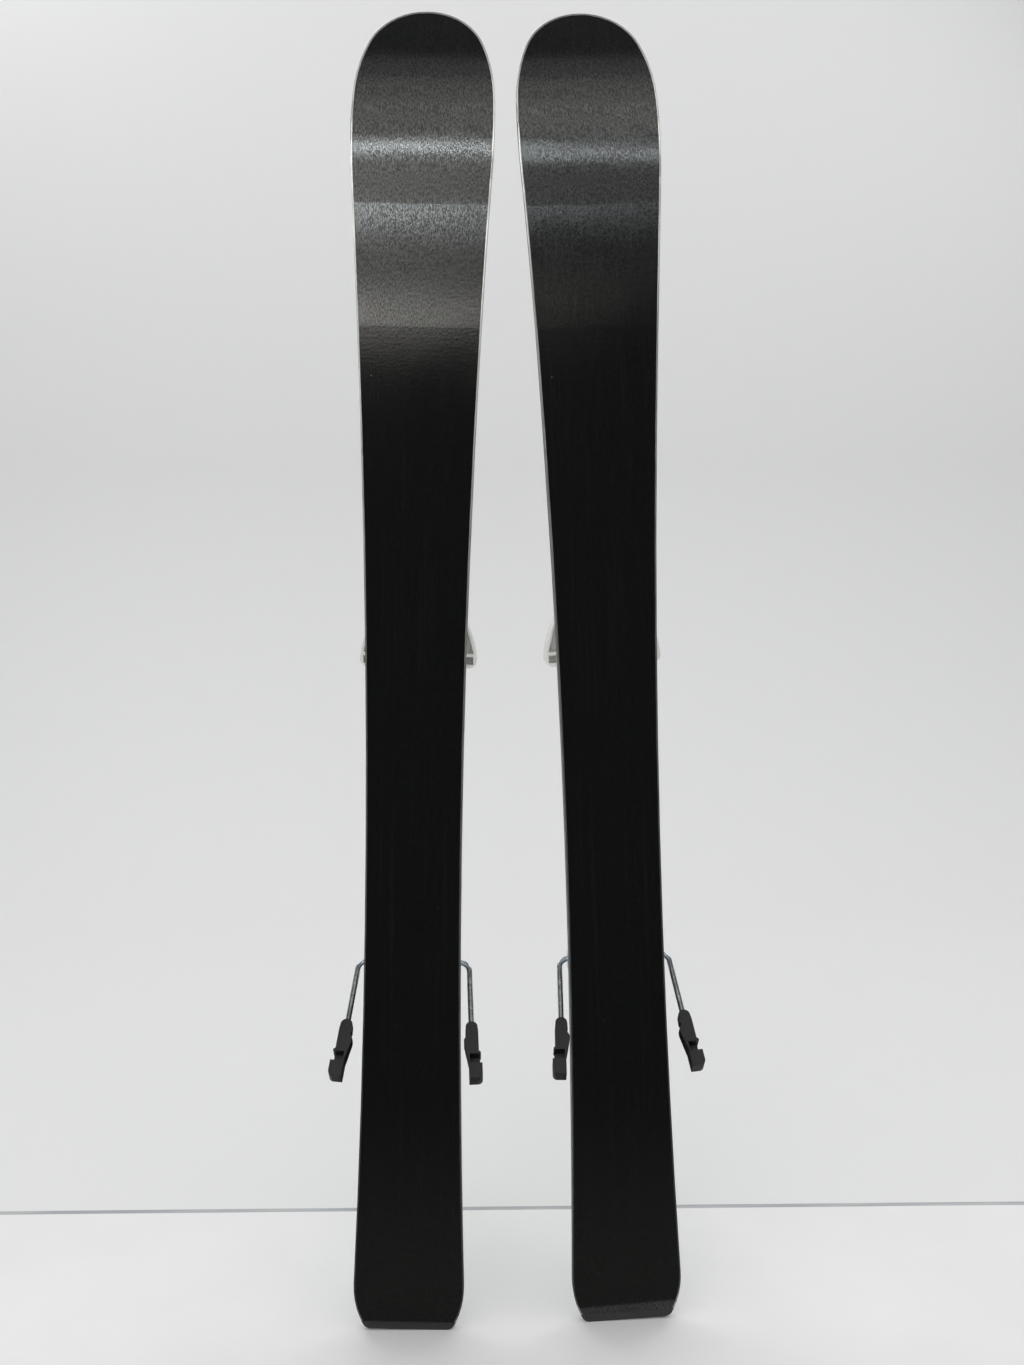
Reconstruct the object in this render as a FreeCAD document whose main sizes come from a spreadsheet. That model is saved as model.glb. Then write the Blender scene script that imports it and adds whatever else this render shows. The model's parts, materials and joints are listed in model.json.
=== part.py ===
import FreeCAD, Part
import math
import os
from collections import namedtuple

import Sketcher
from FreeCAD import Placement, Rotation, Vector

# A pair of short alpine skis with step-in bindings and ski brakes, stood on their tails.
# Row frame: +Z up along the skis, the running bases face -Y, the bindings are on the +Y side.
# Every sub-part is drawn in the frame of its own ski and then placed by that ski's Placement:
#   X across the ski, Y up from the running base (base = 0), Z from the tail end (0) to the tip.

PARAMETERS = [
    # The ski
    ("ski_length", 1172.0, "tail end to tip end, straight"),
    ("waist_half", 42.1, "half width of the narrowest place"),
    ("waist_at", 460.0, "height of the narrowest place"),
    ("front_sidecut", 9700.0, "radius of the sidecut ahead of the waist"),
    ("rear_sidecut", 10200.0, "radius of the sidecut behind the waist"),
    ("tip_round_start", 1028.0, "where the sidecut ends and the tip begins"),
    ("tip_side_radius", 665.0, "plan radius of the tip's sides"),
    ("tip_shoulder_radius", 139.5, "plan radius of the tip's shoulders"),
    ("tip_nose_radius", 52.5, "plan radius of the tip's nose"),
    ("tip_hoop_start", 1070.0, "where the side strips of the edges meet their tip hoop"),
    ("tail_round_start", 46.0, "where the sidecut ends and the tail begins"),
    ("tail_side_radius", 88.0, "plan radius of the tail's sides"),
    ("tail_corner_radius", 8.0, "plan radius of the tail's corners"),
    ("rocker_start", 900.0, "front contact point of the base"),
    ("rocker_radius", 1500.0, "side radius of the early rise"),
    ("shovel_start", 1000.0, "where the shovel starts to bend up"),
    ("shovel_radius", 380.0, "side radius of the shovel"),
    ("kick_start", 50.0, "rear contact point of the base"),
    ("kick_radius", 500.0, "side radius of the tail kick"),
    ("middle_thickness", 13.0, "ski thickness under the binding"),
    ("end_thickness", 7.0, "ski thickness at tip and tail"),
    ("thick_rear", 180.0, "rear end of the full thickness"),
    ("thick_front", 778.0, "front end of the full thickness"),
    ("edge_height", 1.8, "height of the steel edge and base sheet"),
    ("edge_width", 1.5, "width of the steel edge"),
    ("sidewall_width", 4.0, "width of the sidewall strip"),
    ("topsheet_thickness", 1.0, "topsheet"),
    ("protector_length", 8.0, "tail protector"),
    # The pair as it stands
    ("tail_spread", 101.8, "middle plane to a ski's centre line, at its tail end"),
    ("splay", 1.72, "lean of each ski towards the other, degrees"),
    ("left_turn", -3.5, "turn of the left ski about its own length, degrees"),
    ("right_turn", 0.0, "turn of the right ski about its own length, degrees"),
    ("side_shift", 1.65, "middle plane of the pair to the origin, which is at the middle of the width"),
    ("setback", 20.305, "running base to the origin, which is at the middle of the depth"),
    # Boot
    ("boot_toe_at", 648.0, "front end of the boot sole"),
    ("boot_heel_at", 316.0, "rear end of the boot sole"),
    ("toe_lug", 19.0, "thickness of the sole's toe lug"),
    ("toe_rest", 28.0, "height of the gliding pad's top"),
    ("toe_sole_radius", 41.0, "plan radius of the toe cup"),
    ("heel_sole_radius", 38.0, "plan radius of the heel cup"),
    ("heel_lug_top", 61.0, "height of the top of the sole's heel lug"),
    # Toe piece
    ("toe_base_rear", 585.0, "toe base plate, rear end"),
    ("toe_base_front", 769.0, "toe base plate, front end"),
    ("toe_base_half", 29.0, "toe base plate, half width"),
    ("toe_base_thickness", 6.0, "toe base plate"),
    ("bed_rear", 597.0, "raised bed under the gliding pad, rear"),
    ("bed_front", 641.0, "raised bed under the gliding pad, front"),
    ("bed_height", 23.0, "top of the raised bed"),
    ("pad_half", 26.0, "gliding pad, half width"),
    ("pad_travel", 6.0, "gliding pad, travel to each side"),
    ("toe_half", 30.0, "toe housing, half width"),
    ("toe_top", 63.0, "toe housing, top"),
    ("toe_front", 752.0, "toe housing, front end"),
    ("wing_pin_x", 24.0, "toe wing pivot, out from the centre line"),
    ("wing_pin_z", 675.0, "toe wing pivot, along the ski"),
    ("wing_pin_radius", 2.5, "toe wing pivot pin"),
    ("wing_hub_radius", 8.0, "toe wing hub"),
    ("wing_bottom", 29.5, "underside of a toe wing"),
    ("wing_top", 54.0, "top of a toe wing"),
    ("wing_reach", 51.5, "outermost point of a toe wing"),
    ("spring_axis", 41.0, "height of the toe spring's axis"),
    ("spring_bore", 9.0, "radius of the toe spring's bore"),
    ("screw_head_radius", 8.7, "head of the release-value screws"),
    ("screw_shank_radius", 3.0, "shank of the release-value screws"),
    # Heel piece
    ("track_rear", 196.0, "heel track, rear end"),
    ("track_front", 424.0, "heel track, front end"),
    ("track_half", 21.0, "heel track, half width of the rail head"),
    ("track_neck", 17.0, "heel track, half width of the rail neck"),
    ("track_foot", 1.5, "heel track, foot under the neck"),
    ("track_height", 5.0, "heel track, whole height"),
    ("slide_gap", 0.2, "running gap between carriage and track"),
    ("carriage_rear", 214.0, "heel carriage, rear end"),
    ("carriage_front", 330.0, "heel carriage, front end"),
    ("carriage_half", 30.0, "heel carriage, half width"),
    ("heel_pin_y", 36.0, "heel pivot, height"),
    ("heel_pin_z", 228.0, "heel pivot, along the ski"),
    ("heel_pin_radius", 3.0, "heel pivot pin"),
    ("heel_half", 31.0, "heel housing, half width"),
    ("heel_face", 303.0, "heel housing, front face"),
    ("heel_cup_half", 39.0, "heel cup, half width"),
    ("lever_pin_y", 88.0, "lever pivot, height"),
    ("lever_pin_z", 258.0, "lever pivot, along the ski"),
    ("lever_half", 18.0, "heel lever, half width"),
    ("heel_spring_axis", 49.0, "height of the heel spring's axis"),
    # Ski brake
    ("brake_axis_y", 23.5, "brake pivot, height"),
    ("brake_axis_z", 343.0, "brake pivot, along the ski"),
    ("brake_drop", 49.4, "angle of the released arms below the base, degrees"),
    ("brake_lift", 55.0, "turn of the brake from released to stowed, degrees"),
    ("arm_splay", 4.0, "outward lean of a brake arm, degrees"),
    ("arm_spread", 49.8, "brake pivot axis to the arm, across the ski"),
    ("arm_length", 112.0, "pivot to the end of the foot"),
    ("wire_radius", 2.5, "brake wire"),
    ("wire_bend", 9.0, "bend radius of the brake wire's centre line"),
    ("foot_length", 52.0, "brake foot"),
    ("foot_half", 5.6, "brake foot, half width"),
    ("hub_radius", 5.0, "hub of the brake pedal"),
    ("hub_half", 14.0, "hub of the brake pedal, half length"),
]

# Fixed sizes that nothing else is driven by
TALL = 120.0  # taller and wider than any section of a ski
PAD_STUB_RADIUS = 3.0  # guide stub under the gliding pad
PIN_LOW = 21.0  # lower end of a toe wing's pin
HEAD_RADIUS, HEAD_HEIGHT = 4.2, 2.4  # binding screws
SHANK_RADIUS, SHANK_END = 2.1, 4.5
HEAD_GAP, SHANK_GAP = 0.2, 0.2

doc = FreeCAD.newDocument("skis")
sheet = doc.addObject("Spreadsheet::Sheet", "Params")
for row, (alias, value, note) in enumerate(PARAMETERS, 1):
    sheet.set(f"A{row}", alias)
    sheet.set(f"B{row}", str(value))
    sheet.setAlias(f"B{row}", alias)
    sheet.set(f"C{row}", note)
doc.recompute()


class Size:
    """A length that knows its value and the spreadsheet expression that it comes from."""

    def __init__(self, value, text=None):
        self.value = float(value)
        self.text = text or repr(float(value))

    def __add__(self, other):
        other = size(other)
        return Size(self.value + other.value, f"({self.text} + {other.text})")

    def __sub__(self, other):
        other = size(other)
        return Size(self.value - other.value, f"({self.text} - {other.text})")

    def __mul__(self, factor):
        return Size(self.value * factor, f"({self.text} * {factor})")

    def __truediv__(self, divisor):
        return Size(self.value / divisor, f"({self.text} / {divisor})")

    def __radd__(self, other):
        return size(other) + self

    def __rsub__(self, other):
        return size(other) - self

    def __neg__(self):
        return Size(-self.value, f"(0 - {self.text})")

    def __float__(self):
        return self.value


def size(number):
    return number if isinstance(number, Size) else Size(number)


class Driving:
    """The driving dimensions by name, each bound to its cell."""

    def __getattr__(self, alias):
        return Size(sheet.get(alias), f"Params.{alias}")


P = Driving()


def bind(feature, prop, length):
    """Sets a property to a size, and binds it to the sheet where the size comes from there."""
    length = size(length)
    if "Params." in length.text:
        feature.setExpression(prop, length.text)
        return
    owner, _, field = prop.rpartition(".")
    if owner == "AttachmentOffset.Base":
        offset = Vector(0, 0, 0)
        setattr(offset, field, length.value)
        feature.AttachmentOffset = Placement(offset, Rotation())
    else:
        setattr(feature, prop, length.value)


# --- The two skis ---


class Ski:
    """One ski of the pair: names its sub-parts and puts them in its place."""

    def __init__(self, name, side):
        self.name = name
        lean = math.radians(P.splay.value)
        turn = P.right_turn.value if side > 0 else P.left_turn.value
        # The inner tail corner touches the ground, at its topsheet where the ski is turned inwards
        corner_x, corner_z = tail_arcs().end_centre
        kick_r = P.kick_radius.value
        top = kick_r - math.sqrt((kick_r - P.end_thickness.value) ** 2 - P.kick_start.value ** 2)
        turned = math.radians(turn)
        inner_x = corner_x * math.cos(turned) + side * top * math.sin(turned)
        lift = inner_x * math.sin(lean) + corner_z * (1 - math.cos(lean))
        leaning = Rotation(ALONG_Y, -side * P.splay.value)
        self.place = Placement(
            Vector(P.side_shift.value + side * P.tail_spread.value, -P.setback.value, lift),
            leaning.multiply(Rotation(ALONG_Z, turn)),
        )

    def label(self, node):
        return f"{self.name}_{node}"

    def keep(self, feature, node, local=None):
        """Gives a finished sub-part its name and its place."""
        feature.Label = self.label(node)
        feature.Placement = self.place.multiply(local) if local else self.place
        kept.append(feature)
        return feature

    def keep_shape(self, shape, node, local=None):
        """Keeps a shape made with Part's own functions as a sub-part."""
        feature = doc.addObject("Part::Feature", self.label(node))
        feature.Shape = shape
        return self.keep(feature, node, local)


kept = []
TailArcs = namedtuple("TailArcs", "turned centre drop end_centre")


def tail_arcs():
    """Centres (x, z) and angles in degrees of the arc at the tail's side and of the one at its corner.

    The first is tangent to the sidecut, and the second leads from it into the straight end.
    """
    rear = P.rear_sidecut.value
    start = P.tail_round_start.value
    side_r = P.tail_side_radius.value
    corner_r = P.tail_corner_radius.value
    turned = math.asin((P.waist_at.value - start) / rear)
    half = P.waist_half.value + rear * (1 - math.cos(turned))
    centre = (half - side_r * math.cos(turned), start - side_r * math.sin(turned))
    drop = math.asin((centre[1] - corner_r) / (side_r - corner_r))
    end_centre = (centre[0] + (side_r - corner_r) * math.cos(drop), corner_r)
    return TailArcs(math.degrees(turned), centre, math.degrees(drop), end_centre)


# --- Drawing helpers ---


def arc_centre(start, end, radius):
    """Centre of the minor arc from start to end; a positive radius turns left."""
    chord = end - start
    middle = (start + end) * 0.5
    away = math.sqrt(max(radius * radius - chord.Length ** 2 / 4, 0.0))
    left = Vector(-chord.y, chord.x, 0).normalize()
    return middle + left * (away if radius > 0 else -away)


def fix_point(sketch, index, end, corner):
    """Holds one end of a sketch edge at a corner given by two sizes."""
    for axis, length in (("X", size(corner[0])), ("Y", size(corner[1]))):
        if abs(length.value) < 1e-9:
            line = -2 if axis == "X" else -1
            sketch.addConstraint(Sketcher.Constraint("PointOnObject", index, end, line))
            continue
        number = sketch.addConstraint(
            Sketcher.Constraint(f"Distance{axis}", -1, 1, index, end, length.value)
        )
        if "Params." in length.text:
            sketch.setExpression(f"Constraints[{number}]", length.text)


def add_outline(sketch, corners):
    """Closed outline through corners (x, y) or (x, y, radius), with the radius of the arc to the next."""
    points = [Vector(float(c[0]), float(c[1]), 0) for c in corners]
    first = sketch.GeometryCount
    last = first + len(corners) - 1
    for i, corner in enumerate(corners):
        start = points[i]
        end = points[(i + 1) % len(points)]
        if len(corner) == 2:
            sketch.addGeometry(Part.LineSegment(start, end))
            continue
        radius = float(corner[2])
        centre = arc_centre(start, end, radius)
        angles = [math.atan2(p.y - centre.y, p.x - centre.x) for p in (start, end)]
        if radius < 0:
            angles.reverse()
        circle = Part.Circle(centre, Vector(0, 0, 1), abs(radius))
        sketch.addGeometry(Part.ArcOfCircle(circle, *angles))
    for i, corner in enumerate(corners):
        here = first + i
        following = here + 1 if here < last else first
        after = corners[(i + 1) % len(corners)]
        start_end = (1, 2) if len(corner) == 2 or float(corner[2]) > 0 else (2, 1)
        next_start = 1 if len(after) == 2 or float(after[2]) > 0 else 2
        sketch.addConstraint(
            Sketcher.Constraint("Coincident", here, start_end[1], following, next_start)
        )
        fix_point(sketch, here, start_end[0], corner)
        if len(corner) == 3:
            radius = size(corner[2])
            number = sketch.addConstraint(
                Sketcher.Constraint("Radius", here, abs(radius.value))
            )
            if "Params." in radius.text:
                text = radius.text if radius.value > 0 else f"(0 - {radius.text})"
                sketch.setExpression(f"Constraints[{number}]", text)


def add_circle(sketch, x, y, radius):
    """Circle at (x, y)."""
    index = sketch.addGeometry(
        Part.Circle(Vector(float(x), float(y), 0), Vector(0, 0, 1), float(radius))
    )
    fix_point(sketch, index, 3, (x, y))
    number = sketch.addConstraint(Sketcher.Constraint("Radius", index, float(radius)))
    if "Params." in size(radius).text:
        sketch.setExpression(f"Constraints[{number}]", size(radius).text)


# A sketch on SIDE has Y and Z as its axes and is padded along X, one on PLAN has X and Z and is padded
# along Y, and one on CROSS has X and Y and is padded along Z.
SIDE, PLAN, CROSS = "YZ_Plane", "XZ_Plane", "XY_Plane"


class Piece:
    """A PartDesign body with short calls for its sketches and features."""

    def __init__(self, ski, node):
        self.ski = ski
        self.node = node
        self.body = doc.addObject("PartDesign::Body", ski.label(node))

    def sketch(self, plane, at, outlines=(), circles=()):
        """Sketch on an origin plane moved to height at along the plane's row axis."""
        sketch = self.body.newObject("Sketcher::SketchObject", "Sketch")
        base = next(f for f in self.body.Origin.OriginFeatures if f.Role == plane)
        sketch.AttachmentSupport = [(base, "")]
        sketch.MapMode = "FlatFace"
        at = size(at)
        if abs(at.value) > 1e-9:
            bind(sketch, "AttachmentOffset.Base.z", -at if plane == PLAN else at)
        for outline in outlines:
            add_outline(sketch, outline)
        for circle in circles:
            add_circle(sketch, *circle)
        return sketch

    def extrude(self, kind, sketch, length, both):
        feature = self.body.newObject(kind, kind.split("::")[1])
        feature.Profile = sketch
        bind(feature, "Length", length)
        if both:
            feature.SideType = "Symmetric"
        on_plan = sketch.AttachmentSupport[0][0].Role == PLAN
        cuts = kind.endswith("Pocket")
        # Pads grow towards the positive row axis, and pockets cut the same way.
        feature.Reversed = on_plan != cuts
        return feature

    def pad(self, plane, at, length, *outlines, circles=(), both=False):
        sketch = self.sketch(plane, at, outlines, circles)
        return self.extrude("PartDesign::Pad", sketch, length, both)

    def cut(self, plane, at, length, *outlines, circles=(), both=False):
        sketch = self.sketch(plane, at, outlines, circles)
        return self.extrude("PartDesign::Pocket", sketch, length, both)

    def round(self, radius, wanted, kind="PartDesign::Fillet"):
        """Fillets the edges whose middle point satisfies wanted(x, y, z, edge)."""
        doc.recompute()
        shape = self.body.Shape
        names = []
        for i, edge in enumerate(shape.Edges, 1):
            middle = edge.valueAt((edge.FirstParameter + edge.LastParameter) / 2)
            if wanted(middle.x, middle.y, middle.z, edge):
                names.append(f"Edge{i}")
        before = self.body.Tip
        feature = self.body.newObject(kind, kind.split("::")[1])
        feature.Base = (before, names)
        bind(feature, "Radius" if kind.endswith("Fillet") else "Size", radius)
        return feature

    def done(self, local=None):
        return self.ski.keep(self.body, self.node, local)


def rectangle(low_x, low_y, high_x, high_y):
    return [(low_x, low_y), (high_x, low_y), (high_x, high_y), (low_x, high_y)]


def straight(edge, direction):
    """Whether an edge is straight and along a direction."""
    if edge.Curve.TypeId != "Part::GeomLine":
        return False
    return abs(edge.Curve.Direction.dot(direction)) > 0.999


ALONG_X, ALONG_Y, ALONG_Z = Vector(1, 0, 0), Vector(0, 1, 0), Vector(0, 0, 1)


def mirrored(corners, side):
    """The same outline on the other side of the Y axis when side is -1."""
    if side > 0:
        return corners
    return [(-size(c[0]), c[1]) if len(c) == 2 else (-size(c[0]), c[1], -size(c[2])) for c in corners]


# --- The ski itself: laminated layers between one plan outline and one side profile ---


def arc(centre, radius, first, last, on_side=False):
    """Arc about a centre from one direction to another, in degrees, in the plan or on the side."""
    points = []
    for angle in (first, (first + last) / 2, last):
        across = centre[0] + radius * math.cos(math.radians(angle))
        along = centre[1] + radius * math.sin(math.radians(angle))
        points.append(Vector(0, across, along) if on_side else Vector(across, 0, along))
    return Part.Arc(*points).toShape()


def half_outline():
    """Edges of the right half of the plan outline, from the tail's middle to the tip."""
    waist = P.waist_half.value
    waist_at = P.waist_at.value
    front = P.front_sidecut.value
    rear = P.rear_sidecut.value
    tip_start = P.tip_round_start.value
    # Tip: three ever tighter arcs, each tangent to the next, the last one level at the nose
    side_r = P.tip_side_radius.value
    shoulder_r = P.tip_shoulder_radius.value
    nose_r = P.tip_nose_radius.value
    turned = math.degrees(math.asin((tip_start - waist_at) / front))
    half = waist + front * (1 - math.cos(math.radians(turned)))
    side_centre = (
        half - side_r * math.cos(math.radians(turned)),
        tip_start + side_r * math.sin(math.radians(turned)),
    )
    nose_centre = (0.0, P.ski_length.value - nose_r)
    gap = Vector(nose_centre[0] - side_centre[0], nose_centre[1] - side_centre[1], 0)
    long_side = side_r - shoulder_r
    short_side = shoulder_r - nose_r
    opening = (long_side ** 2 + gap.Length ** 2 - short_side ** 2) / (2 * long_side * gap.Length)
    side_edge = math.degrees(math.atan2(gap.y, gap.x) - math.acos(opening))
    shoulder_centre = (
        side_centre[0] + long_side * math.cos(math.radians(side_edge)),
        side_centre[1] + long_side * math.sin(math.radians(side_edge)),
    )
    nose_edge = math.degrees(
        math.atan2(nose_centre[1] - shoulder_centre[1], nose_centre[0] - shoulder_centre[0])
    )
    tail = tail_arcs()
    tail_r = P.tail_side_radius.value
    end_r = P.tail_corner_radius.value
    return [
        Part.LineSegment(Vector(0, 0, 0), Vector(tail.end_centre[0], 0, 0)).toShape(),
        arc(tail.end_centre, end_r, -90, -tail.drop),
        arc(tail.centre, tail_r, -tail.drop, tail.turned),
        arc((waist + rear, waist_at), rear, 180 + tail.turned, 180),
        arc((waist + front, waist_at), front, 180, 180 - turned),
        arc(side_centre, side_r, -turned, side_edge),
        arc(shoulder_centre, shoulder_r, side_edge, nose_edge),
        arc(nose_centre, nose_r, nose_edge, 90),
    ]


def plan_prism(inset):
    """The plan outline, moved in by an inset, as a tall prism."""
    right = half_outline()
    left = [edge.mirror(Vector(0, 0, 0), Vector(1, 0, 0)) for edge in right]
    wire = Part.Wire(Part.__sortEdges__(right + left))
    if inset > 0:
        wire = wire.makeOffset2D(-inset)
    face = Part.Face(wire)
    face.translate(Vector(0, -TALL / 4, 0))
    return face.extrude(Vector(0, TALL, 0))


def rise_angle():
    """Slope of the base where the rocker passes into the shovel, in degrees."""
    run = P.shovel_start.value - P.rocker_start.value
    return math.degrees(math.asin(run / P.rocker_radius.value))


def side_curve(end_height, middle_height):
    """Edges along the ski at a height over the base, which may differ between the ends and the middle."""
    kick_r = P.kick_radius.value
    rocker_r = P.rocker_radius.value
    shovel_r = P.shovel_radius.value
    kick_start = P.kick_start.value
    rocker_start = P.rocker_start.value
    slope = rise_angle()
    tail_turn = math.degrees(math.asin(kick_start / (kick_r - end_height)))
    shovel_centre = (
        rocker_r - (rocker_r - shovel_r) * math.cos(math.radians(slope)),
        rocker_start + (rocker_r - shovel_r) * math.sin(math.radians(slope)),
    )
    reach = P.ski_length.value + 4.0 - shovel_centre[1]
    tip_turn = math.degrees(math.asin(reach / (shovel_r - end_height)))
    corners = [(end_height, kick_start)]
    if middle_height != end_height:
        corners.append((middle_height, P.thick_rear.value))
        corners.append((middle_height, P.thick_front.value))
    corners.append((end_height, rocker_start))
    points = [Vector(0, y, z) for y, z in corners]
    flats = [Part.LineSegment(a, b).toShape() for a, b in zip(points, points[1:])]
    return [
        arc((kick_r, kick_start), kick_r - end_height, 180 + tail_turn, 180, on_side=True),
        *flats,
        arc((rocker_r, rocker_start), rocker_r - end_height, 180, 180 - slope, on_side=True),
        arc(shovel_centre, shovel_r - end_height, 180 - slope, 180 - tip_turn, on_side=True),
    ]


def layer(low, high):
    """Slab between two side curves, each given by its heights at the ends and in the middle."""
    bottom = Part.Wire(side_curve(*low))
    top = Part.Wire(side_curve(*high))
    ends = [
        Part.LineSegment(bottom.Vertexes[i].Point, top.Vertexes[i].Point).toShape()
        for i in (0, -1)
    ]
    wire = Part.Wire(Part.__sortEdges__(bottom.Edges + top.Edges + ends))
    face = Part.Face(wire)
    face.translate(Vector(-TALL, 0, 0))
    return face.extrude(Vector(2 * TALL, 0, 0))


def stretch(low_z, high_z, low_x=-TALL, high_x=TALL):
    """Box that holds the ski between two heights, and optionally between two widths."""
    corner = Vector(low_x, -TALL / 4, low_z)
    return Part.makeBox(high_x - low_x, TALL, high_z - low_z, corner)


def strips(ring):
    """Cuts a closed ring of the outline into its left strip, its right strip and its tip hoop."""
    tail = P.protector_length.value
    split = P.tip_hoop_start.value
    pieces = [
        stretch(tail, split, high_x=0),
        stretch(tail, split, low_x=0),
        stretch(split, P.ski_length.value + 1),
    ]
    return Part.makeCompound([ring.common(piece).Solids[0] for piece in pieces])


def add_laminate(ski):
    end = P.end_thickness.value
    middle = P.middle_thickness.value
    edge = P.edge_height.value
    sheet_thickness = P.topsheet_thickness.value
    base_line = (0.0, 0.0)
    edge_line = (edge, edge)
    glue_line = (end - sheet_thickness, middle - sheet_thickness)
    top_line = (end, middle)
    whole = plan_prism(0)
    inside_edges = plan_prism(P.edge_width.value)
    inside_walls = plan_prism(P.sidewall_width.value)
    tail = P.protector_length.value
    ahead_of_tail = stretch(tail, P.ski_length.value + 1)
    lower = layer(base_line, edge_line)
    body = layer(edge_line, glue_line)
    upper = layer(glue_line, top_line)
    ski.keep_shape(lower.common(inside_edges).common(ahead_of_tail), "running_base")
    ski.keep_shape(strips(lower.common(whole).cut(inside_edges)), "steel_edges")
    ski.keep_shape(body.common(inside_walls).common(ahead_of_tail), "core")
    ski.keep_shape(strips(body.common(whole).cut(inside_walls)), "sidewalls")
    ski.keep_shape(upper.common(whole).common(ahead_of_tail), "topsheet")
    ski.keep_shape(
        layer(base_line, top_line).common(whole).common(stretch(0, tail)), "tail_protector"
    )


# --- Screws that hold the binding to the ski ---

def screw_places():
    """Where the eight screws stand: x, z and the surface that the head is flush with."""
    toe_rear = P.bed_rear.value + 7.0
    toe_front = P.toe_base_front.value - 9.0
    heel_rear = P.track_rear.value + 8.0
    heel_front = P.track_front.value - 8.0
    plate_top = P.middle_thickness.value + P.toe_base_thickness.value
    track_top = P.middle_thickness.value + P.track_height.value
    places = []
    for side in (-1, 1):
        places.append((side * 19.0, toe_rear, P.bed_height.value))
        places.append((side * 19.0, toe_front, plate_top))
        places.append((side * 11.0, heel_rear, track_top))
        places.append((side * 11.0, heel_front, track_top))
    return places


def binding_screw(top):
    """One screw with a cross recess, its axis down -Y, its head's top at the origin.

    The head is flush with a surface at height top over the base, so the shank is as long as that needs.
    """
    tip = SHANK_END - top
    face = Part.Face(Part.makePolygon([
        Vector(0, 0, 0),
        Vector(HEAD_RADIUS - 0.5, 0, 0),
        Vector(HEAD_RADIUS, -0.5, 0),
        Vector(HEAD_RADIUS, -HEAD_HEIGHT, 0),
        Vector(SHANK_RADIUS, -HEAD_HEIGHT, 0),
        Vector(SHANK_RADIUS, tip + 1.5, 0),
        Vector(0, tip, 0),
        Vector(0, 0, 0),
    ]))
    screw = face.revolve(Vector(0, 0, 0), Vector(0, 1, 0), 360)
    for turned in (45, 135):
        bar = Part.makeBox(4.6, 1.6, 1.0, Vector(-2.3, -1.5, -0.5))
        bar.rotate(Vector(0, 0, 0), Vector(0, 1, 0), turned)
        screw = screw.cut(bar)
    return screw


def add_binding_screws(ski):
    screws = []
    for x, z, top in screw_places():
        screw = binding_screw(top)
        screw.translate(Vector(x, top, z))
        screws.append(screw)
    ski.keep_shape(Part.makeCompound(screws), "binding_screws")


def cut_screw_holes(piece, wanted):
    """Stepped holes through a plate for the screws that satisfy wanted(z)."""
    places = [place for place in screw_places() if wanted(place[1])]
    for top in sorted({place[2] for place in places}):
        here = [place for place in places if place[2] == top]
        shanks = [(x, z, SHANK_RADIUS + SHANK_GAP) for x, z, _ in here]
        heads = [(x, z, HEAD_RADIUS + HEAD_GAP) for x, z, _ in here]
        piece.cut(PLAN, P.middle_thickness, 2 * TALL, circles=shanks)
        piece.cut(PLAN, top - HEAD_HEIGHT, HEAD_HEIGHT + 1, circles=heads)


# --- Toe piece ---


def add_toe_base_plate(ski):
    piece = Piece(ski, "toe_base_plate")
    bottom = P.middle_thickness
    top = bottom + P.toe_base_thickness
    ramp = 3.0
    piece.pad(SIDE, 0, P.toe_base_half * 2, [
        (bottom, P.toe_base_rear),
        (top, P.toe_base_rear),
        (top, P.bed_rear - ramp),
        (P.bed_height, P.bed_rear),
        (P.bed_height, P.bed_front),
        (top, P.bed_front + ramp),
        (top, P.toe_base_front - ramp),
        (top - ramp, P.toe_base_front),
        (bottom, P.toe_base_front),
    ], both=True)
    middle = (P.bed_rear + P.bed_front) / 2
    slot_half = P.pad_travel + PAD_STUB_RADIUS + 0.3
    slot_side = PAD_STUB_RADIUS + 0.3
    piece.cut(PLAN, bottom, TALL, rectangle(-slot_half, middle - slot_side, slot_half, middle + slot_side))
    cut_screw_holes(piece, lambda z: z > 500)
    corner = 6.0
    rear = P.toe_base_rear.value
    front = P.toe_base_front.value
    piece.round(corner, lambda x, y, z, edge: straight(edge, ALONG_Y) and abs(x) > 28 and (
        z < rear + 1 or z > front - 1))
    piece.done()


def add_afd_pad(ski):
    """The gliding pad under the boot's toe, which slides sideways as the toe releases."""
    piece = Piece(ski, "afd_pad")
    gap = 0.2
    bottom = P.bed_height + gap
    rear = P.bed_rear + 4
    front = P.bed_front - 4
    piece.pad(PLAN, bottom, P.toe_rest - bottom, rectangle(-P.pad_half, rear, P.pad_half, front))
    stub = 5.0
    piece.pad(PLAN, bottom - stub, stub + 1, circles=[(0, (rear + front) / 2, PAD_STUB_RADIUS)])
    half = P.pad_half.value
    top = P.toe_rest.value
    piece.round(5.0, lambda x, y, z, edge: straight(edge, ALONG_Y) and abs(x) > half - 1)
    piece.round(1.0, lambda x, y, z, edge: y > top - 0.01, "PartDesign::Chamfer")
    piece.done()


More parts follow.
